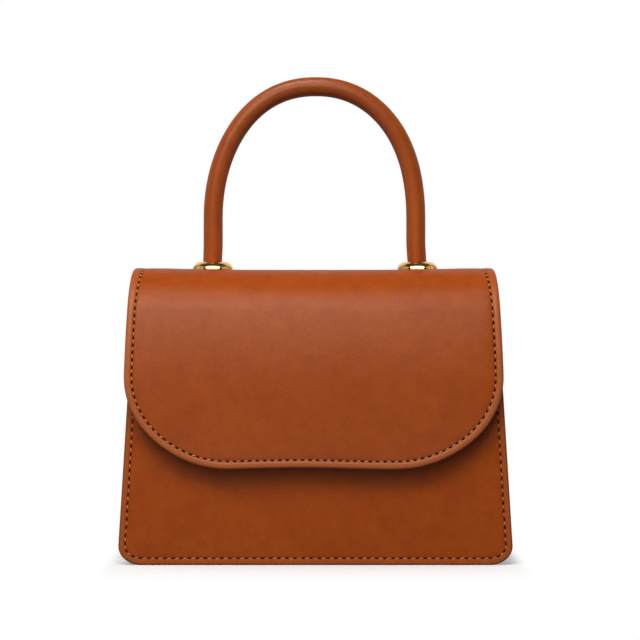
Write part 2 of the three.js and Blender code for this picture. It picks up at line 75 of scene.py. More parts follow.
camera = {"distance": 1.2, "height": 0.125, "across": 0.0023, "lens": 132.4, "sensor": 36, "far": 60}
studio = {
    "behind": 0.34, "front": 0.01, "overhead": 0.1, "turn": 0.25, "ceiling": (0.55, 0.9),
    "floorSize": 40, "floorWhite": 0.83, "floorTint": (0.95, 0.98, 1.02), "floorBounce": 0.14,
    "floorGlow": 0.2, "floorShine": 0.1, "fade": 0.09, "fadeAside": 10,
}
lamps = {
    "front_softbox": {"place": (-0.21, -0.72, 1.18), "aim": (0, 0, 0.13), "size": (1.1, 0.55), "power": 17.4,
                      "tint": (1.0, 0.95, 0.88), "gloss": False},
    "low_softbox": {"place": (-0.3, -1.02, 0.72), "aim": (0, 0, 0.13), "size": (1.1, 0.52), "power": 3.8,
                    "tint": (1.0, 0.88, 0.72)},
    "front_fill": {"place": (-0.5, -1.55, 0.25), "aim": (0, 0, 0.13), "size": (1.2, 0.6), "power": 1.9,
                   "tint": (1.0, 0.94, 0.86), "gloss": False},
    "back_wash": {"place": (0.3, 1.2, 0.9), "aim": (0, 0, 0.15), "size": (1.0, 0.5), "power": 3.4,
                  "gloss": False},
    "fill": {"place": (1.5, 0.45, 0.5), "aim": (0, 0, 0.1), "size": (0.7, 0.7), "power": 3.6, "gloss": False,
             "pair": True},
    # pale cards that only the gold reflects
    "card_behind": {"place": (0, 1.5, 1.1), "aim": (0, 0, 0.15), "size": (3.4, 2.2), "power": 17.0,
                    "lights": "gold"},
    "card_front": {"place": (0, -0.95, 0.72), "aim": (0, 0, 0.15), "size": (1.6, 1.0), "power": 30.0,
                   "lights": "gold"},
    "card": {"place": (1.2, -0.2, 0.6), "aim": (0, 0, 0.15), "size": (1.2, 0.9), "power": 2.2,
             "tint": (1.0, 0.9, 0.75), "lights": "gold", "pair": True},
    "floor_wash": {"place": (0, -0.2, 2.0), "aim": (0, -0.2, 0), "size": (1.6, 1.6), "power": 9.5,
                   "tint": (0.86, 0.95, 1.0), "lights": "floor"},
    "handle_strip": {"place": (-0.22, -0.42, 1.32), "aim": (0, 0, 0.24), "size": (0.7, 0.3), "power": 3.2,
                     "lights": "handle"},
    "leg_lamp": {"place": (0, -1.0, 0.17), "aim": (0, 0, 0.17), "size": (0.36, 0.07), "power": 0.017,
                 "spread": radians(5), "gloss": False, "lights": "handle"},
}
lit = {label: bpy.data.collections.new(label + "_pieces") for label in ("gold", "floor", "handle")}


def feed(tree, node, feeds):
    for label, value in feeds.items():
        if isinstance(value, bpy.types.NodeSocket):
            tree.links.new(value, node.inputs[label])
        else:
            node.inputs[label].default_value = value
    return node


def addNode(tree, kind, feeds=None, **settings):
    node = tree.nodes.new("ShaderNode" + kind)
    for setting, value in settings.items():
        setattr(node, setting, value)
    return feed(tree, node, feeds or {})


def addMath(tree, operation, first, second=0):
    return addNode(tree, "Math", {0: first, 1: second}, operation=operation).outputs[0]


def addRange(tree, value, fromLow, fromHigh, toLow=0, toHigh=1, ease="LINEAR"):
    feeds = {"Value": value, "From Min": fromLow, "From Max": fromHigh, "To Min": toLow, "To Max": toHigh}
    return addNode(tree, "MapRange", feeds, interpolation_type=ease).outputs["Result"]


def addMix(tree, share, first, second, kind="RGBA"):
    return addNode(tree, "Mix", {"Factor": share, "A": first, "B": second}, data_type=kind).outputs["Result"]


def splitPlace(tree, output):
    return addNode(tree, "SeparateXYZ", {0: addNode(tree, "TexCoord").outputs[output]}).outputs


def newMaterial(name):
    material = bpy.data.materials.new(name)
    material.use_nodes = True
    return material, material.node_tree, material.node_tree.nodes["Principled BSDF"]


def placeCamera():
    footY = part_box("front_panel")[0].y
    bpy.ops.object.camera_add(
        location=(camera["across"], footY - camera["distance"], camera["height"]),
        rotation=(pi / 2, 0, 0),
    )
    made = bpy.context.object
    made.data.lens = camera["lens"]
    made.data.sensor_width = camera["sensor"]
    made.data.clip_end = camera["far"]
    bpy.context.scene.camera = made


def placeLamp(name, lamp, side=1):
    x, y, z = lamp["place"]
    place = Vector((side * x, y, z))
    turn = (Vector(lamp["aim"]) - place).to_track_quat("-Z", "Y").to_euler()
    bpy.ops.object.light_add(type="AREA", location=place, rotation=turn)
    made = bpy.context.object
    made.name = name
    made.data.shape = "RECTANGLE"
    made.data.size, made.data.size_y = lamp["size"]
    made.data.energy = lamp["power"]
    made.data.color = lamp.get("tint", (1, 1, 1))
    made.data.spread = lamp.get("spread", pi)
    made.visible_glossy = lamp.get("gloss", True)
    if "lights" in lamp:
        made.light_linking.receiver_collection = lit[lamp["lights"]]


def paintWorld():
    world = bpy.data.worlds.new("studio")
    bpy.context.scene.world = world
    world.use_nodes = True
    tree = world.node_tree
    look = splitPlace(tree, "Generated")
    # pale wall behind the bag, dim room in front, dim ceiling
    turn = studio["turn"]
    wall = addRange(tree, look["Y"], -turn, turn, studio["front"], studio["behind"], "SMOOTHSTEP")
    up = addRange(tree, look["Z"], *studio["ceiling"], ease="SMOOTHSTEP")
    room = addMix(tree, up, wall, studio["overhead"], "FLOAT")
    fromCamera = addNode(tree, "LightPath").outputs["Is Camera Ray"]
    seen = addMix(tree, fromCamera, room, 1.0, "FLOAT")        # the camera sees plain white
    feed(tree, tree.nodes["Background"], {"Strength": seen, "Color": (1, 1, 1, 1)})


def layFloor():
    bpy.ops.mesh.primitive_plane_add(size=studio["floorSize"], location=(0, 0, 0))
    floor = bpy.context.object
    floor.name = "studio_floor"
    material, tree, shader = newMaterial("pale_floor")
    path = addNode(tree, "LightPath").outputs
    fromCamera = path["Is Camera Ray"]
    white = (*[studio["floorWhite"] * share for share in studio["floorTint"]], 1)
    dim = (*3 * (studio["floorBounce"],), 1)     # throws little light back up under the flap
    tone = addMix(tree, addMath(tree, "SUBTRACT", 1, fromCamera), white, dim)
    feed(tree, shader, {"Base Color": tone, "Roughness": 0.9, "Specular IOR Level": 0.1})
    where = splitPlace(tree, "Object")
    low, high = cadBox
    aside = addMath(tree, "SUBTRACT", addMath(tree, "ABSOLUTE", where["X"]), high[0])
    aside = addMath(tree, "MULTIPLY", addMath(tree, "MAXIMUM", aside), studio["fadeAside"])
    ahead = addMath(tree, "SUBTRACT", where["Y"], (low[1] + high[1]) / 2)
    ahead = addMath(tree, "SUBTRACT", addMath(tree, "ABSOLUTE", ahead), (high[1] - low[1]) / 2)
    away = addNode(tree, "CombineXYZ", {"X": aside, "Y": addMath(tree, "MAXIMUM", ahead)}).outputs[0]
    span = addNode(tree, "VectorMath", {0: away}, operation="LENGTH").outputs["Value"]
    # plain white away from the bag, its shadow near it, and metal sees some of that white too
    fade = addRange(tree, span, 0, studio["fade"], studio["floorGlow"], 1, "SMOOTHSTEP")
    shine = addMath(tree, "MULTIPLY", path["Is Glossy Ray"], studio["floorShine"])
    share = addMath(tree, "MULTIPLY", addMath(tree, "MAXIMUM", fromCamera, shine), fade)
    glow = addNode(tree, "Emission").outputs[0]
    mixed = addNode(tree, "MixShader", {0: share, 1: shader.outputs[0], 2: glow})
    feed(tree, tree.nodes["Material Output"], {"Surface": mixed.outputs[0]})
    floor.data.materials.append(material)
    lit["floor"].objects.link(floor)


placeCamera()
for lampName, lamp in lamps.items():
    if "pair" in lamp:
        for side, label in sides:
            placeLamp(lampName + "_" + label, lamp, side)
    else:
        placeLamp(lampName, lamp)
paintWorld()
layFloor()
bpy.context.scene.view_settings.view_transform = "Standard"
print("studio set")


# small tools

def setMode(mode):
    bpy.ops.object.mode_set(mode=mode)


def deselectAll():
    if bpy.context.object and bpy.context.object.mode != "OBJECT":
        setMode("OBJECT")
    bpy.ops.object.select_all(action="DESELECT")


def pick(piece):
    deselectAll()
    piece.select_set(True)
    bpy.context.view_layer.objects.active = piece


def takeNew(name):
    piece = bpy.context.object
    piece.name = piece.data.name = name
    return piece


def readPoints(piece):
    points = np.empty(3 * len(piece.data.vertices))
    piece.data.vertices.foreach_get("co", points)
    return points.reshape(-1, 3)


def writePoints(piece, points):
    piece.data.vertices.foreach_set("co", np.asarray(points, dtype=np.float32).ravel())
    piece.data.update()


def paintPoints(piece, name, values):
    values = np.asarray(values, dtype=np.float32)
    kind, field = ("FLOAT", "value") if values.ndim == 1 else ("FLOAT_VECTOR", "vector")
    layer = piece.data.attributes.new(name, kind, "POINT")
    layer.data.foreach_set(field, values.ravel())


def useModifier(piece, kind, **settings):
    pick(piece)
    modifier = piece.modifiers.new(kind.lower(), kind)
    for setting, value in settings.items():
        setattr(modifier, setting, value)
    bpy.ops.object.modifier_apply(modifier=modifier.name)


def softenEdges(piece, width, segments=2):
    useModifier(piece, "BEVEL", width=width, segments=segments, limit_method="ANGLE",
                angle_limit=radians(60))


def closeMesh(piece, angle):
    pick(piece)
    setMode("EDIT")
    bpy.ops.mesh.select_all(action="SELECT")
    bpy.ops.mesh.remove_doubles(threshold=1e-6)
    bpy.ops.mesh.normals_make_consistent(inside=False)
    setMode("OBJECT")
    bpy.ops.object.shade_smooth_by_angle(angle=radians(angle))


def thicken(piece, thick, bevel=0, angle=45, offset=0, even=False):
    useModifier(piece, "SOLIDIFY", thickness=thick, offset=offset, use_even_offset=even)
    if bevel:
        softenEdges(piece, bevel)
    closeMesh(piece, angle)


def smooth(value, low, high):
    share = np.clip((value - low) / (high - low), 0, 1)
    return share * share * (3 - 2 * share)


def resample(curve, shares):
    steps = np.linalg.norm(np.diff(curve, axis=0), axis=1)
    run = np.concatenate([[0], np.cumsum(steps)])
    return np.stack([np.interp(np.asarray(shares) * run[-1], run, column) for column in curve.T], 1)


def runLength(curve):
    return float(np.linalg.norm(np.diff(curve, axis=0), axis=1).sum())


def stack(*parts):
    return np.column_stack(parts)


def leftward(heading):
    heading = heading / np.linalg.norm(heading, axis=1)[:, None]
    return stack(-heading[:, 1], heading[:, 0])


def layGrid(name, columns, rows):
    deselectAll()
    bpy.ops.mesh.primitive_grid_add(x_subdivisions=columns, y_subdivisions=rows, size=2)
    piece = takeNew(name)
    points = readPoints(piece)
    across = np.rint((points[:, 0] + 1) / 2 * columns).astype(int)
    upward = np.rint((points[:, 1] + 1) / 2 * rows).astype(int)
    return piece, across, upward


def finishPiece(piece, materials, slot, body=None, nodes=()):
    piece.data.materials.clear()
    for material in materials if isinstance(materials, list) else [materials]:
        piece.data.materials.append(material)
    if slot == "gold":
        lit["gold"].objects.link(piece)
    if nodes:
        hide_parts(*nodes)
    if body:
        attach(piece, body)
    return piece


# finishes

def linear(red, green, blue):
    share = np.array([red, green, blue]) / 255
    made = np.where(share <= 0.04045, share / 12.92, ((share + 0.055) / 1.055) ** 2.4)
    return (*[float(value) for value in made], 1.0)


def newGroup(name, inputs, outputs):
    group = bpy.data.node_groups.new(name, "ShaderNodeTree")
    for way, labels in (("INPUT", inputs), ("OUTPUT", outputs)):
        for label in labels:
            kind = "NodeSocketVector" if label == "Place" else "NodeSocketFloat"
            group.interface.new_socket(label, in_out=way, socket_type=kind)
    return group, group.nodes.new("NodeGroupInput").outputs, group.nodes.new("NodeGroupOutput")


def addNoise(tree, place, scale, detail, roughness=0.5, distortion=0.0):
    feeds = {"Vector": place, "Scale": scale, "Detail": detail, "Roughness": roughness}
    return addNode(tree, "TexNoise", {**feeds, "Distortion": distortion}).outputs["Fac"]


def addSum(tree, *terms):
    parts = [addMath(tree, "MULTIPLY", value, weight) for value, weight in terms]
    total = parts[0]
    for part in parts[1:]:
        total = addMath(tree, "ADD", total, part)
    return total


def addBump(tree, height, strength, distance):
    feeds = {"Height": height, "Strength": strength, "Distance": distance}
    return addNode(tree, "Bump", feeds).outputs["Normal"]


def readAttribute(tree, name, output="Fac"):
    return addNode(tree, "Attribute", attribute_name=name).outputs[output]


def objectPlace(tree):
    return addNode(tree, "TexCoord").outputs["Object"]


def makeHideGrain():
    # calf: soft clouds of dye, fine pores, hair-fine creases
    tree, start, end = newGroup("hide_grain", ("Place", "Cloud scale", "Pore scale"),
                                ("Cloud", "Speck", "Height"))
    place, cloudScale, poreScale = start["Place"], start["Cloud scale"], start["Pore scale"]
    broad = addNoise(tree, place, cloudScale, 4, 0.55, 0.6)
    mottle = addNoise(tree, place, addMath(tree, "MULTIPLY", cloudScale, 3.7), 3, 0.6)
    speck = addNoise(tree, place, poreScale, 3, 0.65)
    pores = addNode(tree, "TexVoronoi", feature="SMOOTH_F1")
    feed(tree, pores, {"Vector": place, "Scale": poreScale, "Smoothness": 0.35})
    feed(tree, end, {
        "Cloud": addRange(tree, addSum(tree, (broad, 0.5), (mottle, 0.5)), 0.36, 0.64),
        "Speck": addRange(tree, speck, 0.3, 0.7),
        "Height": addSum(tree, (pores.outputs["Distance"], -0.55), (speck, 0.7), (mottle, 1.6)),
    })
    return tree


def makeNap():
    # suede: brushed pile that lies in soft strokes
    tree, start, end = newGroup("suede_nap", ("Place", "Stroke scale"), ("Stroke", "Height"))
    broad = addNoise(tree, start["Place"], start["Stroke scale"], 3, 0.5)
    pile = addNoise(tree, start["Place"], 1300, 2, 0.6)
    feed(tree, end, {
        "Stroke": addRange(tree, addSum(tree, (broad, 0.6), (pile, 0.4)), 0.33, 0.67),
        "Height": addNoise(tree, start["Place"], 2600, 2, 0.7),
    })
    return tree


hideGrain = makeHideGrain()
suedeNap = makeNap()
calf = {
    # rim is the paler colour of the painted highlight on the border outside the stitches, and of the pale
    # grain specks
    "rim": (180, 99, 52), "edge": (84, 34, 9), "satin": (0.36, 0.32), "relief": 0.28, "fleck": 0.26,
    "cloud": 42.0, "pore": 1500.0, "deepest": 0.00016, "rimShare": 0.7, "grooveShare": 0.55, "cutShare": 0.85,
    "uneven": 0.2, "fleckDark": 0.5,
}


def makeLeather(name, deep, pale, shine, **other):
    hide = {**calf, **other}
    deep, pale, rim, edge = (linear(*colour) for colour in (deep, pale, hide["rim"], hide["edge"]))
    material, tree, shader = newMaterial(name)
    grain = addNode(tree, "Group", {
        "Place": readAttribute(tree, "hide", "Vector"),        # flat place on the hide, in metres
        "Cloud scale": hide["cloud"],
        "Pore scale": hide["pore"],
    }, node_tree=hideGrain).outputs
    cloud, speck, fleck = grain["Cloud"], grain["Speck"], hide["fleck"]
    dark = (*[hide["fleckDark"] * value for value in deep[:3]], 1.0)
    colour = addMix(tree, cloud, deep, pale)

    def painted(layer):
        return addMath(tree, "MULTIPLY", readAttribute(tree, layer), hide[layer + "Share"])

    for share, layer in (
        (painted("rim"), rim),          # painted highlight outside the stitches, where the raised border catches the light
        (addRange(tree, speck, 0.5, 1, 0, fleck), dark),
        (addRange(tree, speck, 0.5, 0, 0, fleck), rim),
        # darker along the stitch groove
        (painted("groove"), edge),
        # dark edge paint on the cut edge, drawn wider than the paint so it also stands as painted shade on
        # the rounded edge
        (painted("cut"), edge),
    ):
        colour = addMix(tree, share, colour, layer)
    uneven = hide["uneven"] * fleck
    gloss = addRange(tree, cloud, 0, 1, *hide["satin"])
    feed(tree, shader, {
        "Base Color": colour,
        "Roughness": addMath(tree, "ADD", gloss, addRange(tree, speck, 0, 1, -uneven, uneven)),
        "Normal": addBump(tree, grain["Height"], hide["relief"], hide["deepest"]),
        "Specular IOR Level": shine,
    })
    return material


def makeSuede(name, deep, pale):
    material, tree, shader = newMaterial(name)
    feeds = {"Place": objectPlace(tree), "Stroke scale": 70.0}
    nap = addNode(tree, "Group", feeds, node_tree=suedeNap).outputs
    feed(tree, shader, {
        "Base Color": addMix(tree, nap["Stroke"], linear(*deep), linear(*pale)),
        "Roughness": addRange(tree, nap["Stroke"], 0, 1, 0.95, 0.85),
        "Normal": addBump(tree, nap["Height"], 0.35, 0.0002),
        "Sheen Weight": 0.25,
        "Sheen Roughness": 0.5,
        "Specular IOR Level": 0.2,
    })
    return material


def makeThread(name, deep, pale, shine=0.3):
    material, tree, shader = newMaterial(name)
    twist = addNoise(tree, objectPlace(tree), 1900, 2)
    feed(tree, shader, {
        "Base Color": addMix(tree, twist, linear(*deep), linear(*pale)),
        "Roughness": addRange(tree, twist, 0, 1, 0.7, 0.5),
        "Normal": addBump(tree, twist, 0.5, 0.0001),
        "Specular IOR Level": shine,
    })
    return material


def makeMetal(name, tint, worn, rough, grainScale):
    material, tree, shader = newMaterial(name)
    haze = addNoise(tree, objectPlace(tree), grainScale, 3, 0.6)
    feed(tree, shader, {
        "Base Color": addMix(tree, addRange(tree, haze, 0.35, 0.75), linear(*tint), linear(*worn)),
        "Roughness": addRange(tree, haze, 0.3, 0.7, *rough),
        "Metallic": 1.0,
    })
    return material


tanHide = makeLeather("tan_hide", (152, 63, 2), (165, 74, 9), 0.70)
wallHide = makeLeather("wall_hide", (149, 62, 4), (162, 73, 11), 0.38)
# the tan leather drawn darker for the handle: painted shade
shadedHandleHide = makeLeather("shaded_handle_hide", (135, 58, 5), (147, 67, 13), 0.64, edge=(60, 24, 7), relief=0.05,
                         fleck=0.05)
suede = makeSuede("beige_suede", (170, 127, 90), (190, 147, 107))
thread = makeThread("tan_thread", (182, 102, 54), (226, 158, 102))
# near black: the painted shadow inside each needle hole, set on the leather as a small lens
needleHoleShadow = makeThread("needle_hole_shadow", (14, 6, 3), (24, 10, 5), 0.0)
gold = makeMetal("light_gold", (228, 183, 113), (216, 166, 94), (0.06, 0.11), 300.0)
zinc = makeMetal("zinc_plate", (160, 160, 162), (132, 132, 136), (0.3, 0.45), 900.0)
paintedBoard = makeThread("painted_board", (92, 42, 18), (118, 56, 26))
print("finishes made")


# the bag's own forms, read from the frame

frontLow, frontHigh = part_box("front_panel")
backLow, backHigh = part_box("back_panel")
crownLow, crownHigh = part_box("flap_crown")
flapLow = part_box("flap_front_leather")[0]
gussetLow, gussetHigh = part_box("right_gusset")

wallLeather = 1.8 * mm
stripLeather = 1.6 * mm
layerGap = 0.3 * mm
seamFlange = 5.2 * mm        # the walls stand this far past the gussets
crownMargin = 0.2 * mm
rimDrop = 0.9 * mm           # keeps the front rim clear of the closed flap's lining and its stitches
foldRadius = 26 * mm
wallSlope = (backHigh.y - backLow.y - wallLeather) / backHigh.z
wallLean = atan(wallSlope)
leanSin, leanCos = sin(wallLean), cos(wallLean)
sideSlope = (gussetHigh.x - crownHigh.x - crownMargin) / (backHigh.z - gussetLow.z)
sideLean = atan(sideSlope)
footHalf = gussetHigh.x + sideSlope * gussetLow.z
frontRim, backRim = frontHigh.z - rimDrop, backHigh.z
foldZ = crownHigh.z - foldRadius + foldRadius * leanSin        # where the fold ends, and where it starts
foldY = flapLow.y + wallSlope * (foldZ - flapLow.z) + foldRadius * leanCos


def wallHalf(height):
    return footHalf - sideSlope * height


def wallPlace(side, foot, belly, bellyTall):
    # across the wall, up it, off its outer face
    def place(x, y, h):
        out = h + belly * (1 - (x / footHalf) ** 2) * np.sin(np.pi * np.clip(y / bellyTall, 0, 1)) ** 2
        return stack(side * x, foot + side * (y * leanSin - out * leanCos), y * leanCos + out * leanSin)
    return place


frontWall = wallPlace(1, frontLow.y, 0.5 * mm, frontRim)
backWall = wallPlace(-1, backHigh.y, 0.6 * mm, 100 * mm)


# flat pattern sheets: a grid in the middle, its border drawn out ring by ring, then thickened and placed

outlineSteps = {"level": 300, "turn": 240, "rise": 500, "past": 8 * mm, "fine": 8000}
# cut: how far in the dark edge colour reaches, past the edge paint itself, as painted shade on the rounded
# edge
edgeWork = {"roll": 0.9 * mm, "thinnest": 0.45, "groove": 0.55 * mm, "cut": (0.15 * mm, 0.65 * mm),
            # the band keys place the painted highlight outside the stitches, and how it fades where the
            # border widens
            "bandStart": (0, 0.5 * mm), "bandEnd": (0.9 * mm, 0.2 * mm), "bandFade": 1.6}


def evenly(y):
    return 1 + 0 * y


def halfOutline(halfWidth, across, up, top, widen=evenly, levelAt=None):
    side = float(halfWidth(up))
    level = np.linspace(0, side - across, outlineSteps["level"])
    turn = np.linspace(-pi / 2, 0, outlineSteps["turn"] + 1)[1:]
    rise = np.linspace(up, top + outlineSteps["past"], outlineSteps["rise"])[1:]
    x = np.concatenate([level, side - across + across * np.cos(turn), halfWidth(rise)])
    y = np.concatenate([0 * level, up + up * np.sin(turn), rise])
    corner = outlineSteps["level"] + outlineSteps["turn"] // 2
    return {"curve": stack(x, y), "corner": corner, "top": top, "widen": widen, "levelAt": levelAt}


def insetHalf(outline, inset):
    curve = outline["curve"]
    reach = inset * outline["widen"](curve[:, 1])
    moved = curve + reach[:, None] * leftward(np.gradient(curve, axis=0))
    last = int(np.argmax(moved[:, 1] > outline["top"]))
    share = (outline["top"] - moved[last - 1, 1]) / (moved[last, 1] - moved[last - 1, 1])
    return np.vstack([moved[:last], moved[last - 1] + share * (moved[last] - moved[last - 1])])


def ringPoints(outline, inset, columns, rowsAt):
    half = insetHalf(outline, inset)
    side = resample(half[outline["corner"]:], rowsAt)
    levelAt = np.linspace(0, 1, columns // 2 + 1) if outline["levelAt"] is None else outline["levelAt"]
    level = resample(half[:outline["corner"] + 1], levelAt)
    mirror = np.array([-1, 1])
    return np.vstack([side[::-1] * mirror, level[::-1][1:] * mirror, level[1:], side[1:]])


def wholeLine(outline, inset):
    half = insetHalf(outline, inset)
    return np.vstack([half[::-1] * np.array([-1, 1]), half[1:]])


def flatTree(points):
    tree = kdtree.KDTree(len(points))
    for index, point in enumerate(points):
        tree.insert((point[0], point[1], 0), index)
    tree.balance()
    return tree


def drawBorder(piece, inner, outer):
    # the open edges between the inner points are extruded, and the new points go to the outer ones
    tree = flatTree(inner)
    near = np.array([tree.find(point)[2] < 1e-6 for point in readPoints(piece)])
    mesh = piece.data
    mesh.vertices.foreach_set("select", near)
    mesh.edges.foreach_set("select", [bool(near[list(edge.vertices)].all()) for edge in mesh.edges])
    mesh.polygons.foreach_set("select", np.zeros(len(mesh.polygons), dtype=bool))
    pick(piece)
    setMode("EDIT")
    bpy.ops.mesh.extrude_region_move()
    setMode("OBJECT")
    points = readPoints(piece)
    for index in range(len(near), len(points)):
        points[index, :2] = outer[tree.find(points[index])[1]]
    writePoints(piece, points)


def makeSheet(name, outline, place, face, under, rings, columns, rows, rowsAt=None, stitchAt=None, roll=False,
              paintedHighlight=1.0):
    rowsAt = np.linspace(0, 1, rows + 1) if rowsAt is None else rowsAt
    insets = sorted((ring * mm for ring in rings), reverse=True)
    inner = ringPoints(outline, insets[0], columns, rowsAt)
    left, right = inner[:rows + 1][::-1], inner[rows + columns:]
    level = inner[rows:rows + columns + 1]
    piece, i, j = layGrid(name, columns, rows)
    u, v = (i / columns)[:, None], rowsAt[j][:, None]
    topLine = (1 - u) * left[-1] + u * right[-1]
    flat = ((1 - u) * left[j] + u * right[j] + (1 - v) * level[i] + v * topLine
            - (1 - u) * (1 - v) * level[0] - u * (1 - v) * level[-1]
            - (1 - u) * v * left[-1] - u * v * right[-1])
    writePoints(piece, stack(flat, np.zeros(len(flat))))
    for inset in insets[1:]:
        outer = ringPoints(outline, inset, columns, rowsAt)
        drawBorder(piece, inner, outer)
        inner = outer
    useModifier(piece, "SOLIDIFY", thickness=1 * mm, offset=-1)
    points = readPoints(piece)
    x, y, lower = points[:, 0], points[:, 1], points[:, 2] < -0.5 * mm
    tree = flatTree(resample(wholeLine(outline, 0), np.linspace(0, 1, outlineSteps["fine"])))
    widened = outline["widen"](y)
    inset = np.array([tree.find((a, b, 0))[2] for a, b in zip(x, y)]) / widened
    high, low = face(inset, y), under(inset, y)
    if roll:                                    # the open side gets a rounded edge too
        near = np.clip((outline["top"] - y) / edgeWork["roll"], 0, 1)
        pinch = edgeWork["thinnest"] + (1 - edgeWork["thinnest"]) * np.sqrt(1 - (1 - near) ** 2)
        middle = (high + low) / 2
        high, low = middle + (high - middle) * pinch, middle + (low - middle) * pinch
    h = np.where(lower, low, high)
    writePoints(piece, place(x, y, h))
    paintPoints(piece, "hide", stack(x, y, h))
    if stitchAt:
        groove = np.exp(-((inset - stitchAt) / edgeWork["groove"]) ** 2)
        paintPoints(piece, "groove", np.where(lower, 0, groove))
        # a paler band outside the stitches: a painted highlight where the raised border catches the light,
        # fading towards the crest
        bandEnd = [stitchAt - before for before in edgeWork["bandEnd"]]
        highlightBand = paintedHighlight * smooth(inset, *edgeWork["bandStart"]) * (1 - smooth(inset, *bandEnd))
        paintPoints(piece, "rim", np.where(lower, 0, highlightBand * (1 - edgeWork["bandFade"] * (widened - 1))))
    # dark edge paint on the rounded cut edge, partly the paint and partly painted shade where the edge turns
    # down
    paintPoints(piece, "cut", 1 - smooth(inset, *edgeWork["cut"]) if roll else 0 * inset)
    closeMesh(piece, 50)
    return piece


# stitches: one thread and one near-black lens, the painted shadow in a needle hole, modelled once and laid
# along each row

stitch = {"pitch": 4.15 * mm, "long": 0.85 * mm, "wide": 0.38 * mm, "tall": 0.34 * mm, "slant": 0.28,
          "lift": 0.1 * mm}
# the lens that stands on the leather as the painted shadow of each needle hole
hole = {"long": 0.76 * mm, "wide": 0.55 * mm, "tall": 0.22 * mm, "slant": -0.5, "lift": 0.1 * mm}


def modelUnit(size, segments, rings, fullness):
    deselectAll()
    bpy.ops.mesh.primitive_uv_sphere_add(segments=segments, ring_count=rings, radius=1)
    unit = bpy.context.object
    points = readPoints(unit)[:, [2, 0, 1]]               # poles at the ends of the stitch
    points[:, 0] = np.sign(points[:, 0]) * np.abs(points[:, 0]) ** fullness
    faces = [tuple(face.vertices) for face in unit.data.polygons]
    bpy.data.meshes.remove(unit.data)
    return points * np.array([size["long"], size["wide"], size["tall"]]), faces


threadUnit = modelUnit(stitch, 8, 6, 0.85)
holeUnit = modelUnit(hole, 8, 4, 1.0)


def sewRow(name, line, place, height, pitch=stitch["pitch"]):
    count = max(2, round(runLength(line) / pitch))
    points, faces, kinds, first = [], [], [], 0
    for kind, (size, unit, shares) in enumerate((
        (stitch, threadUnit, (np.arange(count) + 0.5) / count),
        (hole, holeUnit, np.arange(1, count) / count),
    )):
        ahead, behind = (resample(line, np.clip(shares + step / count, 0, 1)) for step in (0.25, -0.25))
        heading = ahead - behind
        angle = np.arctan2(heading[:, 1], heading[:, 0]) + size["slant"]
        along = stack(np.cos(angle), np.sin(angle))
        aside = stack(-along[:, 1], along[:, 0])
        local, corners = unit
        spread = resample(line, shares)[:, None] + local[None, :, :1] * along[:, None]
        spread = spread + local[None, :, 1:2] * aside[:, None]
        rise = np.broadcast_to(height + size["lift"] + local[None, :, 2], spread.shape[:2])
        points.append(place(spread[..., 0].ravel(), spread[..., 1].ravel(), rise.ravel()))
        for index in range(len(shares)):
            faces += [tuple(first + corner for corner in face) for face in corners]
            first += len(local)
        kinds += [kind] * (len(shares) * len(corners))
    mesh = bpy.data.meshes.new(name)
    mesh.from_pydata(np.vstack(points).tolist(), [], faces)
    piece = bpy.data.objects.new(name, mesh)
    bpy.context.collection.objects.link(piece)
    finishPiece(piece, [thread, needleHoleShadow], "leather")
    mesh.polygons.foreach_set("material_index", kinds)
    closeMesh(piece, 60)
    return piece


def inStep(table):
    places, heights = (np.array(column) * mm for column in zip(*table))
    return lambda inset, y=None: np.interp(inset, places, heights)


# walls

wallSheet = {
    "corner": (12 * mm, 9.7 * mm),
    "stitchIn": 3.45 * mm,
    "stitchDeep": -0.3 * mm,
    "rimRow": (9 * mm, 3.2 * mm),
    "face": [(0, -0.62), (0.2, -0.3), (0.5, -0.13), (0.9, -0.04), (1.4, 0), (2.6, 0), (3.05, -0.08),
             (3.45, -0.3), (3.85, -0.1), (4.5, 0), (8, 0.06), (20, 0.1)],
    "under": [(0, -1.2), (0.2, -1.5), (0.5, -1.68), (0.9, -1.78), (1.4, -1.8)],
    "rings": [0, 0.15, 0.45, 0.9, 1.6, 2.5, 3.05, 3.45, 3.85, 4.4, 5.4, 6.8],
    "columns": 44,
    "rows": 40,
    "turn": 11 * mm,            # more points round the corners and at the rim
    "turnSteps": 12,
    "rimSteps": (1, 0.5, 0.25, 0.1, 0),
}


def makeWall(name, place, rim, nodes):
    top = rim / leanCos
    steps = wallSheet["turnSteps"]
    bend, turn = 1 - wallSheet["turn"] / footHalf, wallSheet["turn"] / top
    levelAt = np.concatenate([np.linspace(0, bend, steps), np.linspace(bend, 1, steps)[1:]])
    outline = halfOutline(wallHalf, *wallSheet["corner"], top, levelAt=levelAt)
    rowsAt = np.concatenate([np.linspace(0, turn, steps), np.linspace(turn, 1 - 2 * mm / top, 25)[1:],
                             1 - np.array(wallSheet["rimSteps"]) * mm / top])
    face, under = inStep(wallSheet["face"]), inStep(wallSheet["under"])
    # the walls carry half as strong a painted highlight outside their stitches
    piece = makeSheet(name, outline, place, face, under, wallSheet["rings"], wallSheet["columns"],
                      wallSheet["rows"], rowsAt, wallSheet["stitchIn"], roll=True, paintedHighlight=0.5)
    finishPiece(piece, wallHide, "leather", "body", nodes)
    line = wholeLine(outline, wallSheet["stitchIn"])
    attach(sewRow(name + "_stitches", line, place, wallSheet["stitchDeep"]), "body")


makeWall("front_wall", frontWall, frontRim, ["front_panel", "front_stiffener"])
makeWall("back_wall", backWall, backRim, ["back_panel", "back_stiffener"])
rimEnd, rimBelow = wallHalf(frontRim) - wallSheet["rimRow"][0], frontRim - wallSheet["rimRow"][1]
rimRow = np.array([[-rimEnd, rimBelow], [rimEnd, rimBelow]])
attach(sewRow("front_rim_stitches", rimRow, frontWall, 0.0), "body")
print("walls made")


# gussets and base: one strip with turned-out edges, sewn between the walls

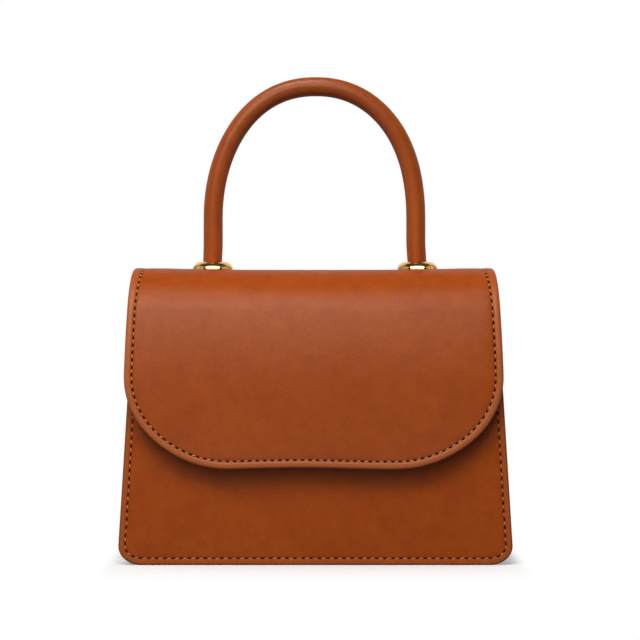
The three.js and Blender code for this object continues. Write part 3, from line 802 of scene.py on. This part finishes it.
strip = {
    "edge": 0.25 * mm, "reach": (0, 0.35, 0.8, 1.6, 2.4), "bend": 2.6 * mm, "bendSteps": (0, 18, 36, 54, 72),
    "webSteps": 18, "rows": 44, "along": 110, "bevel": 0.35 * mm, "rimGap": 0.1 * mm,
    "sag": 1.3 * mm, "sagFrom": (20 * mm, 75 * mm), "lapUp": 2.6 * mm, "lapIn": 4.5 * mm, "crowd": 0.0375,
}
stripMiddle = seamFlange + stripLeather / 2
flangeIn = wallLeather + layerGap + stripLeather / 2      # from a wall's face to the middle of the flange


def stripSection():
    # inset from the walls' edge, distance from the flange, share of the way across the web
    bend = strip["bend"]
    near = [(strip["edge"] + reach * mm, 0, 0) for reach in strip["reach"]]
    near += [(stripMiddle - bend * (1 - sin(angle)), bend * (1 - cos(angle)), 0)
             for angle in np.radians(strip["bendSteps"])]
    web = [(stripMiddle, bend * (1 - 2 * share), share) for share in np.linspace(0, 1, strip["webSteps"] + 1)]
    return np.array(near + web + [(inset, -off, 1) for inset, off, share in near[::-1]]).T


sectionInset, sectionOff, sectionAcross = stripSection()
baseShares = np.linspace(0, 1, strip["along"] + 1)
baseShares = baseShares - strip["crowd"] * np.sin(4 * np.pi * baseShares)    # closer at the corners


def frontFlange(height):
    return frontLow.y + wallSlope * height + flangeIn / leanCos


def backFlange(height):
    return backHigh.y - wallSlope * height - flangeIn / leanCos


def betweenWalls(height, share, margin=0):
    near, far = frontFlange(height) + margin, backFlange(height) - margin
    return near + (far - near) * share


def stripDepth(column, height):
    return betweenWalls(height, sectionAcross[column]) + sectionOff[column]


def rimAt(y):
    dip = (frontRim - backRim) / (frontFlange(frontRim) - foldY)
    return np.where(y > foldY, backRim, backRim + dip * (y - foldY))


def webSag(across, height):
    return strip["sag"] * np.sin(np.pi * across) ** 2 * smooth(height, *strip["sagFrom"])


def makeGusset(name, side, node):
    piece, column, row = layGrid(name, len(sectionInset) - 1, strip["rows"])
    low = gussetLow.z
    top = rimAt(stripDepth(column, frontRim)) - strip["rimGap"]
    height = low + (top - low) * row / strip["rows"]
    y = stripDepth(column, height)
    x = wallHalf(height) - sectionInset[column] / cos(sideLean) - webSag(sectionAcross[column], height)
    writePoints(piece, stack(side * x, y, height))
    paintPoints(piece, "hide", stack(y + 0.3 * side, height, 0 * y))
    thicken(piece, stripLeather, strip["bevel"], even=True)
    finishPiece(piece, tanHide, "leather", "body", [node])


def makeBase(name, nodes):
    piece, column, row = layGrid(name, len(sectionInset) - 1, strip["along"])
    outline = halfOutline(wallHalf, *wallSheet["corner"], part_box("base_panel")[1].z)
    runs = [resample(wholeLine(outline, inset), baseShares) for inset in sectionInset]
    x, height = np.array([runs[c][r] for c, r in zip(column, row)]).T
    y = stripDepth(column, height)
    writePoints(piece, stack(x, y, height))
    paintPoints(piece, "hide", stack(x, y + 0.5, 0 * y))
    thicken(piece, stripLeather, strip["bevel"], even=True)
    finishPiece(piece, wallHide, "leather", "body", nodes)


def gussetFace(side):
    # across the web from the front, up it, off its outer face
    def place(x, y, h):
        across = x / (backFlange(y) - frontFlange(y))
        out = wallHalf(y) - seamFlange - webSag(across, y) + h
        return stack(side * out, frontFlange(y) + x, y)
    return place


for side, label in sides:
    makeGusset(label + "_gusset_strip", side, label + "_gusset")
makeBase("base_strip", ["base_panel", "base_board"])
lapZ = gussetLow.z + strip["lapUp"]
lapEnd = backFlange(lapZ) - frontFlange(lapZ) - strip["lapIn"]
for side, label in sides:
    lapRow = np.array([[strip["lapIn"], lapZ], [lapEnd, lapZ]])
    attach(sewRow(label + "_lap_stitches", lapRow, gussetFace(side), 0.0), "body")
print("gussets and base made")


# flap: tail on the back, crown, lid, fold and front follow one path, from the tail's foot to the flap's

flap = {
    "crownCorner": 4.2 * mm,
    "ease": radians(8),    # the fold's last turn is spread down the front
    "easeRun": 42 * mm,
    "seamY": -10 * mm,          # the two sheets meet here, on the flat of the lid
    "hinge": 4.1 * mm,
    "lidBend": 12 * mm,
    "tailCorner": 16 * mm,
    "tailIn": 7.5 * mm,
    "corner": (54.5 * mm, 47 * mm),
    "widest": 96.75 * mm,
    "crest": 93.4 * mm,
    "crown": 92.6 * mm,
    "shift": -0.9 * mm,         # the flap hangs a little to the left
    "longer": 0.9 * mm,
    "stitchIn": 4.1 * mm,
    "pitch": 3.8 * mm,
    "columns": 48,
    "frontRows": 64,
    "backRows": 60,
    "spread": 0.42,             # the border widens towards the crest
    "rings": [0, 0.12, 0.3, 0.55, 0.9, 1.4, 2.2, 3.1, 3.6, 4.0, 4.4, 4.9, 5.6, 7.0],
    "face": [(0, -2.0), (0.12, -1.2), (0.3, -0.66), (0.55, -0.3), (0.9, -0.08), (1.4, 0.04), (2.2, 0.08),
             (3.1, 0.03), (3.6, -0.16), (4.0, -0.42), (4.4, -0.22), (4.9, -0.05), (5.6, 0.04), (7, 0.14),
             (12, 0.3), (30, 0.42)],
    "under": [(0, -2.4), (0.12, -2.95), (0.3, -3.4), (0.55, -3.7), (0.9, -3.94), (1.4, -4.05), (2.0, -4.1),
              (2.6, -4.0), (3.1, -3.5), (3.5, -3.1)],
    "tailFace": [(0, -0.8), (0.12, -0.5), (0.3, -0.28), (0.55, -0.12), (0.9, -0.04), (1.4, 0), (3.1, 0),
                 (3.6, -0.1), (4.0, -0.3), (4.4, -0.1), (4.9, 0)],
    "tailUnder": [(0, -1.1), (0.12, -1.35), (0.3, -1.55), (0.55, -1.7), (0.9, -1.78), (1.4, -1.8)],
}
waver = {
    "crestEnds": 0.8 * mm, "crestDip": 1.5 * mm, "crestHalf": 90 * mm,
    "hem": 0.45 * mm, "hemWide": 15 * mm, "hemTall": 25 * mm,
    "ripple": 0.1 * mm, "rippleWide": 17 * mm, "rippleLong": 21 * mm, "rippleSkew": 60 * mm,
}


def walkPath(start, heading, moves):
    run, places, headings = [0.0], [start], [heading]
    y, z = start
    for length, turn in moves:
        steps = max(8, int(length / (0.3 * mm)))
        for index in range(steps):
            heading += turn / steps / 2
            y += cos(heading) * length / steps
            z += sin(heading) * length / steps
            heading += turn / steps / 2
            run.append(run[-1] + length / steps)
            places.append((y, z))
            headings.append(heading)
    return np.array(run), np.array(places), np.array(headings)


def layFlapPath():
    turn = pi / 2 - wallLean
    corner, ease, eased = flap["crownCorner"], flap["ease"], flap["easeRun"]
    reach = corner * tan(turn / 2)
    tail = crownHigh.z - crownLow.z
    rise = tail / leanCos - reach
    crownBack = crownHigh.y - wallSlope * tail - reach
    lidFront = foldY + eased * tan(ease / 2)
    drop = (foldZ - flapLow.z) / leanCos + flap["longer"]
    moves = [(rise, 0), (corner * turn, turn), (crownBack - lidFront, 0),
             (foldRadius * (turn - ease), turn - ease), (eased, ease), (drop - eased + foldRadius * ease, 0)]
    path = walkPath((crownHigh.y, crownLow.z), pi / 2 + wallLean, moves)
    middle = rise + corner * turn + crownBack        # the run at y = 0
    fold = middle - lidFront
    marks = (middle - flap["hinge"], middle - flap["seamY"], fold, fold + foldRadius * turn, path[0][-1])
    return path, marks


(flapRun, flapPlaces, flapHeadings), (hingeRun, seamRun, foldRun, frontRun, endRun) = layFlapPath()
frontLength = endRun - seamRun


def onFlap(x, run, h):
    y, z, heading = (np.interp(run, flapRun, column) for column in (*flapPlaces.T, flapHeadings))
    crest = waver["crestEnds"] - waver["crestDip"] * (1 - np.clip(x / waver["crestHalf"], -1, 1) ** 2)
    crest = crest * smooth(run, hingeRun - 2 * mm, seamRun)
    crest = crest * (1 - smooth(run, foldRun + 12 * mm, foldRun + 36 * mm))
    ripple = waver["ripple"] * np.sin(x / waver["rippleWide"] + 1.3)
    ripple = ripple * np.sin(run / waver["rippleLong"] + x / waver["rippleSkew"])
    ripple = ripple * smooth(run, foldRun, foldRun + 20 * mm)
    hem = waver["hem"] * np.cos(x / waver["hemWide"] + 0.5) * smooth(run, frontRun, endRun)
    hem = hem * (1 - smooth(endRun - run, 0, waver["hemTall"]))
    out = h + ripple
    return stack(x + flap["shift"], y + np.sin(heading) * out, z - np.cos(heading) * out + crest + hem)


def onFlapFront(x, y, h):
    return onFlap(x, endRun - y, h)


def onFlapBack(x, y, h):
    return onFlap(-x, y, h)


def frontFlapHalf(y):
    share = np.clip((y - flap["corner"][1]) / (frontLength - flap["corner"][1]), 0, 1)
    return flap["widest"] - (flap["widest"] - flap["crest"]) * share ** 1.25


def backFlapHalf(y):
    tail = wallHalf(crownLow.z) - flap["tailIn"]
    width = tail + (flap["crown"] - tail) * smooth(y, 12 * mm, 50 * mm)
    return width + (flap["crest"] - flap["crown"]) * smooth(y, hingeRun - 6 * mm, seamRun)


flapFace, flapUnder = inStep(flap["face"]), inStep(flap["under"])
tailFace, tailUnder = inStep(flap["tailFace"]), inStep(flap["tailUnder"])


def backFace(inset, y):
    share = smooth(y, hingeRun - 5 * mm, hingeRun + 3 * mm)
    return tailFace(inset) + (flapFace(inset) - tailFace(inset)) * share


def backUnder(inset, y):
    share = smooth(y, hingeRun - 0.2 * mm, hingeRun + 4 * mm)
    return tailUnder(inset) + (flapUnder(inset) - tailUnder(inset)) * share


def jointPlace(name):
    return Vector(next(joint for joint in frame["joints"] if joint["name"] == name)["pos_m"])


foldSlope = radians(25)      # a slope through the fold's hinge, with two points along it
foldAlong = Vector((0, -cos(foldSlope), -sin(foldSlope)))
foldStart = jointPlace("flap_fold_hinge") - 24 * mm * foldAlong
foldEnd = jointPlace("flap_fold_hinge") + 38 * mm * foldAlong


def bendLid(piece):
    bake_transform(piece)


def bendFold(piece):
    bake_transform(piece)


def frontSpread(y):
    return 1 + flap["spread"] * smooth(y, frontLength - 42 * mm, frontLength)


def backSpread(y):
    return 1 + flap["spread"] * smooth(y, 20 * mm, 50 * mm)


frontFlapOutline = halfOutline(frontFlapHalf, *flap["corner"], frontLength, frontSpread)
backFlapOutline = halfOutline(backFlapHalf, flap["tailCorner"], flap["tailCorner"], seamRun, backSpread)
frontFlapRow = wholeLine(frontFlapOutline, flap["stitchIn"])
backFlapRow = wholeLine(backFlapOutline, flap["stitchIn"])


def makeFlapHide(name, outline, place, face, under, rows, nodes):
    piece = makeSheet(name, outline, place, face, under, flap["rings"], flap["columns"], rows,
                      stitchAt=flap["stitchIn"])
    return finishPiece(piece, tanHide, "leather", nodes=nodes)


bendFold(makeFlapHide("flap_front_hide", frontFlapOutline, onFlapFront, flapFace, flapUnder,
                      flap["frontRows"], ["flap_front_leather", "flap_front_filler"]))
bendLid(makeFlapHide("flap_back_hide", backFlapOutline, onFlapBack, backFace, backUnder,
                     flap["backRows"], ["flap_crown", "flap_lid_leather", "flap_lid_filler"]))
bendFold(sewRow("flap_front_stitches", frontFlapRow, onFlapFront, -0.36 * mm, flap["pitch"]))
bendLid(sewRow("flap_back_stitches", backFlapRow, onFlapBack, -0.3 * mm, flap["pitch"]))

flapLining = {"inset": 3.0 * mm, "heights": (-3.2 * mm, -4.12 * mm), "border": 3.0, "corner": 2 * mm,
              "gap": 0.6 * mm, "lidRows": 16}


def makeSuedeSheet(name, outline, place, heights, border, columns, rows, node, body=None, roll=False):
    rounded = inStep([(0, 0.5), (0.15, 0.22), (0.4, 0.06), (1.0, 0)])
    piece = makeSheet(name, outline, place, lambda d, y: heights[0] - rounded(d),
                      lambda d, y: heights[1] + rounded(d) * 0.8, [0, 0.15, 0.4, 1.0, border], columns, rows,
                      roll=roll)
    return finishPiece(piece, suede, "lining", body, [node])


def makeFlapLinings():
    inset, heights, border = flapLining["inset"], flapLining["heights"], flapLining["border"]
    across, up = (reach - inset for reach in flap["corner"])
    rim = halfOutline(lambda y: frontFlapHalf(y + inset) - inset, across, up, frontLength - inset)
    bendFold(makeSuedeSheet("flap_front_suede", rim, lambda x, y, h: onFlapFront(x, y + inset, h), heights,
                            border, flap["columns"], flap["frontRows"], "flap_front_lining"))
    start = hingeRun + flapLining["gap"]
    lid = halfOutline(lambda y: backFlapHalf(y + start) - inset, flapLining["corner"], flapLining["corner"],
                      seamRun - start)
    bendLid(makeSuedeSheet("flap_lid_suede", lid, lambda x, y, h: onFlapBack(x, y + start, h), heights,
                           border, flap["columns"], flapLining["lidRows"], "flap_lid_lining"))


def underFlap(x, y, h):
    return onFlapFront(x, y, flapLining["heights"][1] - h)


makeFlapLinings()
bendFold(sewRow("flap_under_stitches", frontFlapRow, underFlap, 0.0, flap["pitch"]))
print("flap made")


# inside: suede on the walls, gussets and base, and a slip pocket on the back

inside = {
    "depth": 4.6 * mm, "thick": 0.8 * mm, "sideIn": 8.2 * mm, "foot": 9.6 * mm, "corner": 3 * mm,
    "webIn": 7.5 * mm, "floorIn": 9.4 * mm, "rimGap": 0.3 * mm, "webGap": 0.2 * mm, "wallGap": 0.5 * mm,
    "bevel": 0.2 * mm, "bridgeEdge": 2.2 * mm, "across": 20, "up": 36, "baseAcross": 16,
}
liningMargin = inside["depth"] + inside["thick"] - flangeIn + inside["wallGap"]


def makeWallLining(name, place, rim, node):
    foot, corner, depth = inside["foot"], inside["corner"], inside["depth"]
    top = (rim - inside["rimGap"]) / leanCos - foot
    outline = halfOutline(lambda y: wallHalf(y + foot) - inside["sideIn"], corner, corner, top)
    makeSuedeSheet(name, outline, lambda x, y, h: place(x, y + foot, h), (-depth, -depth - inside["thick"]),
                   2.6, 30, 24, node, "body")


def makeSideLining(name, side, node):
    piece, column, row = layGrid(name, inside["across"], inside["up"])
    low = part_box(node)[0].z
    across = column / inside["across"]
    top = rimAt(betweenWalls(frontRim, across, liningMargin)) - inside["webGap"]
    height = low + (top - low) * row / inside["up"]
    x = wallHalf(height) - inside["webIn"] - webSag(across, height)
    writePoints(piece, stack(side * x, betweenWalls(height, across, liningMargin), height))
    thicken(piece, inside["thick"], inside["bevel"])
    finishPiece(piece, suede, "lining", "body", [node])


def makeBaseLining(name, node):
    piece, column, row = layGrid(name, inside["baseAcross"], strip["along"])
    outline = halfOutline(wallHalf, *wallSheet["corner"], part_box(node)[1].z)
    x, height = resample(wholeLine(outline, inside["floorIn"]), baseShares)[row].T
    y = betweenWalls(height, column / inside["baseAcross"], liningMargin)
    writePoints(piece, stack(x, y, height))
    thicken(piece, inside["thick"])
    finishPiece(piece, suede, "lining", "body", [node])


pocket = {"half": 52 * mm, "foot": 39.7 * mm, "tall": 62 * mm, "corner": 8 * mm, "depth": 5.75 * mm,
          "gape": 1.6 * mm, "gapeFrom": 25 * mm, "stitchIn": 2.4 * mm, "stitchDeep": 0.05 * mm}


def onPocket(x, y, h):
    gape = pocket["gape"] * smooth(y, pocket["gapeFrom"], pocket["tall"])
    gape = gape * (1 - np.clip(np.abs(x) / pocket["half"], 0, 1) ** 2)
    return backWall(x, y + pocket["foot"], h - gape)


def makePocket():
    depth, corner = pocket["depth"], pocket["corner"]
    outline = halfOutline(lambda y: pocket["half"] + 0 * y, corner, corner, pocket["tall"])
    makeSuedeSheet("slip_pocket_suede", outline, onPocket, (-depth, -depth - inside["thick"]), 2.4, 24, 20,
                   "slip_pocket", "body", roll=True)
    row = sewRow("slip_pocket_stitches", wholeLine(outline, pocket["stitchIn"]), onPocket,
                 -depth - inside["thick"] - pocket["stitchDeep"])
    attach(row, "body")


def makeBridgeLining():
    # a tray, open above
    low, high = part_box("bridge_lining")
    deselectAll()
    bpy.ops.mesh.primitive_cube_add(size=1, location=(low + high) / 2, scale=high - low)
    piece = takeNew("bridge_suede")
    bpy.ops.object.transform_apply(location=True, rotation=True, scale=True)
    setMode("EDIT")
    bpy.ops.mesh.select_all(action="DESELECT")
    setMode("OBJECT")
    for face in piece.data.polygons:
        face.select = face.normal.z > 0.9
    setMode("EDIT")
    bpy.ops.mesh.select_mode(type="FACE")
    bpy.ops.mesh.delete(type="FACE")
    bpy.ops.mesh.select_mode(type="VERT")
    setMode("OBJECT")
    softenEdges(piece, inside["bridgeEdge"], 4)
    thicken(piece, inside["thick"], offset=-1, even=True)
    finishPiece(piece, suede, "lining", "body", ["bridge_lining"])


makeWallLining("front_suede", frontWall, frontRim, "front_lining")
makeWallLining("back_suede", backWall, backRim, "back_lining")
for side, label in sides:
    makeSideLining(label + "_suede", side, label + "_lining")
makeBaseLining("base_suede", "base_lining")
makePocket()
makeBridgeLining()
print("inside made")


# handle: a strip of leather rolled round a rope, its long edges meeting under the arch

handleLow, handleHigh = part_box("handle_wrap")
handle = {
    "radius": (handleHigh.y - handleLow.y) / 2,
    "full": 0.35 * mm,          # the leather stands a little proud of the core
    "higher": 0.3 * mm,
    "shift": -0.65 * mm,
    "spread": (-0.4 * mm, 0.8 * mm),
    "spreadTall": 16 * mm,
    "foot": handleLow.z,
    "leg": 27.0 * mm,
    "fullness": 2.17,           # 2 would be a plain half ellipse
    "leather": 1.3 * mm,
    "seamGap": 0.035,
    "seam": (0.45 * mm, 0.16),
    "neck": (0.28 * mm, 3.2 * mm),
    "crease": (0.05 * mm, 0.62 * mm),
    "creaseAt": (5.5 * mm, 3 * mm),
    "around": 40,
    "along": 190,
}


def handlePath():
    reach, foot = handleHigh.x - handle["radius"], handle["foot"]
    base = foot + handle["leg"]
    rise = handleHigh.z + handle["higher"] - handle["radius"] - base
    turn = np.linspace(pi, 0, 1600)
    bow = 2 / handle["fullness"]
    across = reach * np.sign(np.cos(turn)) * np.abs(np.cos(turn)) ** bow
    arch = stack(across, base + rise * np.abs(np.sin(turn)) ** bow)
    return np.vstack([[-reach, foot], arch, [reach, foot]])


def makeHandle():
    piece, around, along = layGrid("handle_hide_wrap", handle["around"], handle["along"])
    length, foot = runLength(handlePath()), handle["foot"]
    path = resample(handlePath(), np.linspace(0, 1, handle["along"] + 1))
    outward = leftward(np.gradient(path, axis=0))      # away from the arch's middle
    angle = (around / handle["around"] * 2 - 1) * (pi - handle["seamGap"])
    fromSeam = pi - np.abs(angle)
    run = along / handle["along"] * length
    toFoot = np.minimum(run, length - run)
    radius = handle["radius"] + handle["full"]
    radius = radius - handle["seam"][0] * np.exp(-(fromSeam / handle["seam"][1]) ** 2)
    radius = radius - handle["neck"][0] * np.exp(-toFoot / handle["neck"][1])
    crease = np.sin(toFoot / handle["crease"][1] + 1.4 * np.sin(2 * angle))
    crease = crease * (0.5 + 0.5 * np.cos(angle + 0.8))
    crease = crease * np.exp(-((toFoot - handle["creaseAt"][0]) / handle["creaseAt"][1]) ** 2)
    radius = radius + handle["crease"][0] * crease
    flatPlace = path[along] + outward[along] * (radius * np.cos(angle))[:, None]
    y = (handleLow.y + handleHigh.y) / 2 + radius * np.sin(angle)
    lean = np.where(path[along, 0] < 0, *handle["spread"]) * (1 - smooth(toFoot, 0, handle["spreadTall"]))
    lean = lean + handle["shift"] * (1 - smooth(path[along, 1], foot + 30 * mm, foot + 80 * mm))
    writePoints(piece, stack(flatPlace[:, 0] + lean, y, flatPlace[:, 1]))
    paintPoints(piece, "hide", stack(angle * handle["radius"] + 0.9, run, 0 * run))
    paintPoints(piece, "groove", np.exp(-(fromSeam / 0.2) ** 2))
    thicken(piece, handle["leather"], angle=50, offset=1)
    finishPiece(piece, shadedHandleHide, "leather", "body", ["handle_wrap", "handle_core"])
    lit["handle"].objects.link(piece)


makeHandle()
print("handle made")


# turned metal: a closed section, spun round its axis and placed

def turnSection(name, section, steps, place, body, node):
    deselectAll()
    bpy.ops.mesh.primitive_circle_add(vertices=len(section), radius=1, fill_type="NOTHING")
    piece = takeNew(name)
    writePoints(piece, [(radius, 0, height) for radius, height in section])
    setMode("EDIT")
    bpy.ops.mesh.select_all(action="SELECT")
    bpy.ops.mesh.spin(steps=steps, angle=2 * pi, center=(0, 0, 0), axis=(0, 0, 1))
    setMode("OBJECT")
    writePoints(piece, place(readPoints(piece)))
    closeMesh(piece, 35)
    finishPiece(piece, gold, "gold", body, [node])


def roundCorner(centre, radius, fromAngle, toAngle, steps):
    return [(centre[0] + radius * cos(angle), centre[1] + radius * sin(angle))
            for angle in np.linspace(radians(fromAngle), radians(toAngle), steps)]


collar = {"outer": 11.0 * mm, "bore": 5.3 * mm, "tall": 4.7 * mm, "lip": 0.7 * mm, "foot": 0.4 * mm,
          "steps": 80}


def makeCollar(name, node, shift):
    low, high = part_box(node)
    bore, lip, foot = collar["bore"], collar["lip"], collar["foot"]
    section = [(bore, 0.0)]
    section += roundCorner((bore + lip, collar["tall"] - lip), lip, 180, 90, 7)
    dome = np.linspace(pi / 2, 0, 26)[1:]             # a quarter ellipse from the lip down to the foot
    wide, rise = collar["outer"] - bore - lip, collar["tall"] - foot
    section += [(bore + lip + wide * cos(a), foot + rise * sin(a)) for a in dome]
    section += roundCorner((collar["outer"] - foot, foot), foot, -15, -90, 5)
    middle = np.array([(low.x + high.x) / 2 + shift, (low.y + high.y) / 2, low.z])
    turnSection(name, section, collar["steps"], lambda points: points + middle, "body", node)


makeCollar("left_gold_collar", "left_collar", -0.9 * mm)
makeCollar("right_gold_collar", "right_collar", 0.25 * mm)

snap = {"radius": 7.5 * mm, "rise": 64 * mm, "shank": 2 * mm, "studFace": 4.6 * mm, "steps": 56}


def onSnap(points):
    # spun round Z, then laid on the front wall with Z out of the bag
    x, up = points[:, 0], points[:, 1] + snap["rise"]
    return frontWall(0 * x, 0 * x, points[:, 2]) + stack(x, up * leanSin, up * leanCos)


def makeSnap():
    r, shank, face = snap["radius"], snap["shank"], snap["studFace"]
    socket = [(0, -2.0 * mm), (shank, -2.0 * mm), (shank, -0.1 * mm)]
    socket += [(r - 0.2 * mm, 0.2 * mm), (r, 0.45 * mm)]
    socket += roundCorner((r - 1.2 * mm, 1.4 * mm), 1.2 * mm, 0, 90, 7)
    socket += roundCorner((5.0 * mm, 1.9 * mm), 0.7 * mm, 90, 180, 6)
    socket += [(4.3 * mm, 1.0 * mm), (0, 1.0 * mm)]
    turnSection("snap_socket_cup", socket, snap["steps"], onSnap, "body", "snap_socket")
    stud = [(0, 7.0 * mm), (shank, 7.0 * mm), (shank, face)]
    stud += roundCorner((r - 0.5 * mm, face - 0.5 * mm), 0.5 * mm, 90, 0, 5)
    stud += roundCorner((r - 0.7 * mm, face - 0.75 * mm), 0.7 * mm, 0, -90, 5)
    stud += [(3.4 * mm, face - 1.45 * mm)]
    stud += roundCorner((2.4 * mm, face - 2.1 * mm), 0.6 * mm, 0, -90, 6) + [(0, face - 2.7 * mm)]
    turnSection("snap_stud_button", stud, snap["steps"], onSnap, "flap_front", "snap_stud")


makeSnap()

ring = {"wire": 1.1 * mm, "half": 7.6 * mm, "drop": 11.5 * mm, "corner": 2.4 * mm, "bow": 1.02,
        "tilt": radians(8), "steps": 84, "sides": 14, "torus": 0.25}


def ringPath():
    half, drop, corner = ring["half"], ring["drop"], ring["corner"]
    shoulder = drop - half * ring["bow"]
    bend = [(half - corner + corner * sin(a), -corner + corner * cos(a))
            for a in np.linspace(0, pi / 2, 20)]
    lower = [(half * cos(a), -shoulder - (drop - shoulder) * sin(a))
             for a in np.linspace(0, pi, 90)]
    rest = [(-x, z) for x, z in bend[::-1]]
    points = np.array(bend + lower + rest + bend[:1])
    return resample(points, np.linspace(0, 1, ring["steps"] + 1))[:-1]


def makeRing(name, side, node, body, bar):
    deselectAll()
    bpy.ops.mesh.primitive_torus_add(major_segments=ring["steps"], minor_segments=ring["sides"],
                                     major_radius=1, minor_radius=ring["torus"])
    piece = takeNew(name)
    x, y, z = readPoints(piece).T
    turn = np.rint(np.arctan2(y, x) / (2 * pi) * ring["steps"]).astype(int) % ring["steps"]
    offIn = (np.hypot(x, y) - 1) / ring["torus"] * ring["wire"]
    offUp = z / ring["torus"] * ring["wire"]
    path = ringPath()
    outward = leftward(np.roll(path, -1, axis=0) - np.roll(path, 1, axis=0))
    flat = path[turn] + outward[turn] * offIn[:, None]
    tiltSin, tiltCos = sin(ring["tilt"]), cos(ring["tilt"])
    down, out = np.array([side * tiltSin, 0, -tiltCos]), np.array([side * tiltCos, 0, tiltSin])
    placed = np.array(bar) + flat[:, :1] * np.array([0, 1, 0]) - flat[:, 1:] * down + offUp[:, None] * out
    writePoints(piece, placed)
    closeMesh(piece, 60)
    finishPiece(piece, gold, "gold", body, [node])


tab = {"half": 5.5 * mm, "leather": 1.1 * mm, "corner": 2.2 * mm, "loop": 1.85 * mm, "length": 21.4 * mm,
       "inner": 1.2 * mm, "layer": 1.25 * mm, "bevel": 0.25 * mm, "steps": 72, "across": 10,
       "sewIn": 1.7 * mm, "sewTop": 10.5 * mm, "sewLow": 1.8 * mm}


def makeTab(name, side, node, bar):
    # up the web, over the ring's bar and down again, both layers sewn flat below it
    barOff = abs(bar.x) - (wallHalf(bar.z) - seamFlange)
    inner, loop, corner, steps = tab["inner"], tab["loop"], tab["corner"], tab["steps"]
    outer = inner + tab["layer"]
    path = [(inner, -tab["length"]), (inner, -8 * mm), (inner, -4.5 * mm)]
    path += [(barOff - loop * cos(a), loop * sin(a))
             for a in np.linspace(radians(-50), radians(222), 40)]
    path += [(outer, -5.2 * mm), (outer, -8 * mm), (outer, -tab["length"])]
    path = resample(np.array(path), np.linspace(0, 1, steps + 1))
    piece, column, row = layGrid(name, tab["across"], steps)
    run = np.linspace(0, 1, steps + 1) * runLength(path)
    bite = np.clip(corner - np.minimum(run, run[-1] - run), 0, corner)
    half = tab["half"] - corner + np.sqrt(np.maximum(corner ** 2 - bite ** 2, 0))
    across = (column / tab["across"] * 2 - 1) * half[row]
    off, rise = path[row].T
    height = bar.z + rise
    webShare = (bar.y + across - frontFlange(height)) / (backFlange(height) - frontFlange(height))
    sag = webSag(webShare, height) * smooth(-rise, 4 * mm, 12 * mm)
    x = wallHalf(height) - seamFlange + off - sag
    writePoints(piece, stack(side * x, bar.y + across, height))
    paintPoints(piece, "hide", stack(across + 0.7 * side, run[row], 0 * across))
    thicken(piece, tab["leather"], tab["bevel"], 50)
    finishPiece(piece, tanHide, "leather", "body", [node])
    sewIn, top, low = tab["half"] - tab["sewIn"], bar.z - tab["sewTop"], bar.z - tab["length"] + tab["sewLow"]
    corners = ((-1, top), (-1, low), (1, low), (1, top))
    line = [(bar.y + way * sewIn - frontFlange(z), z) for way, z in corners]
    face = outer + tab["leather"] / 2
    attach(sewRow(name + "_stitches", np.array(line), gussetFace(side), face), "body")


for side, label in sides:
    bar = jointPlace(label + "_ring_swing")
    makeRing(label + "_gold_ring", side, label + "_strap_ring", label + "_ring", bar)
    makeTab(label + "_tab_hide", side, label + "_ring_tab", bar)
print("metal and tabs made")


# hidden hardware keeps its CAD shape

def dressNode(node, material):
    piece = frame["nodes"][node]
    piece.data.materials.clear()
    piece.data.materials.append(material)


for node in ("anchor_plate", "left_handle_insert", "right_handle_insert", "left_handle_screw",
             "right_handle_screw", "snap_socket_washer", "snap_stud_washer"):
    dressNode(node, zinc)
dressNode("bridge_board", paintedBoard)

print("bag finished")
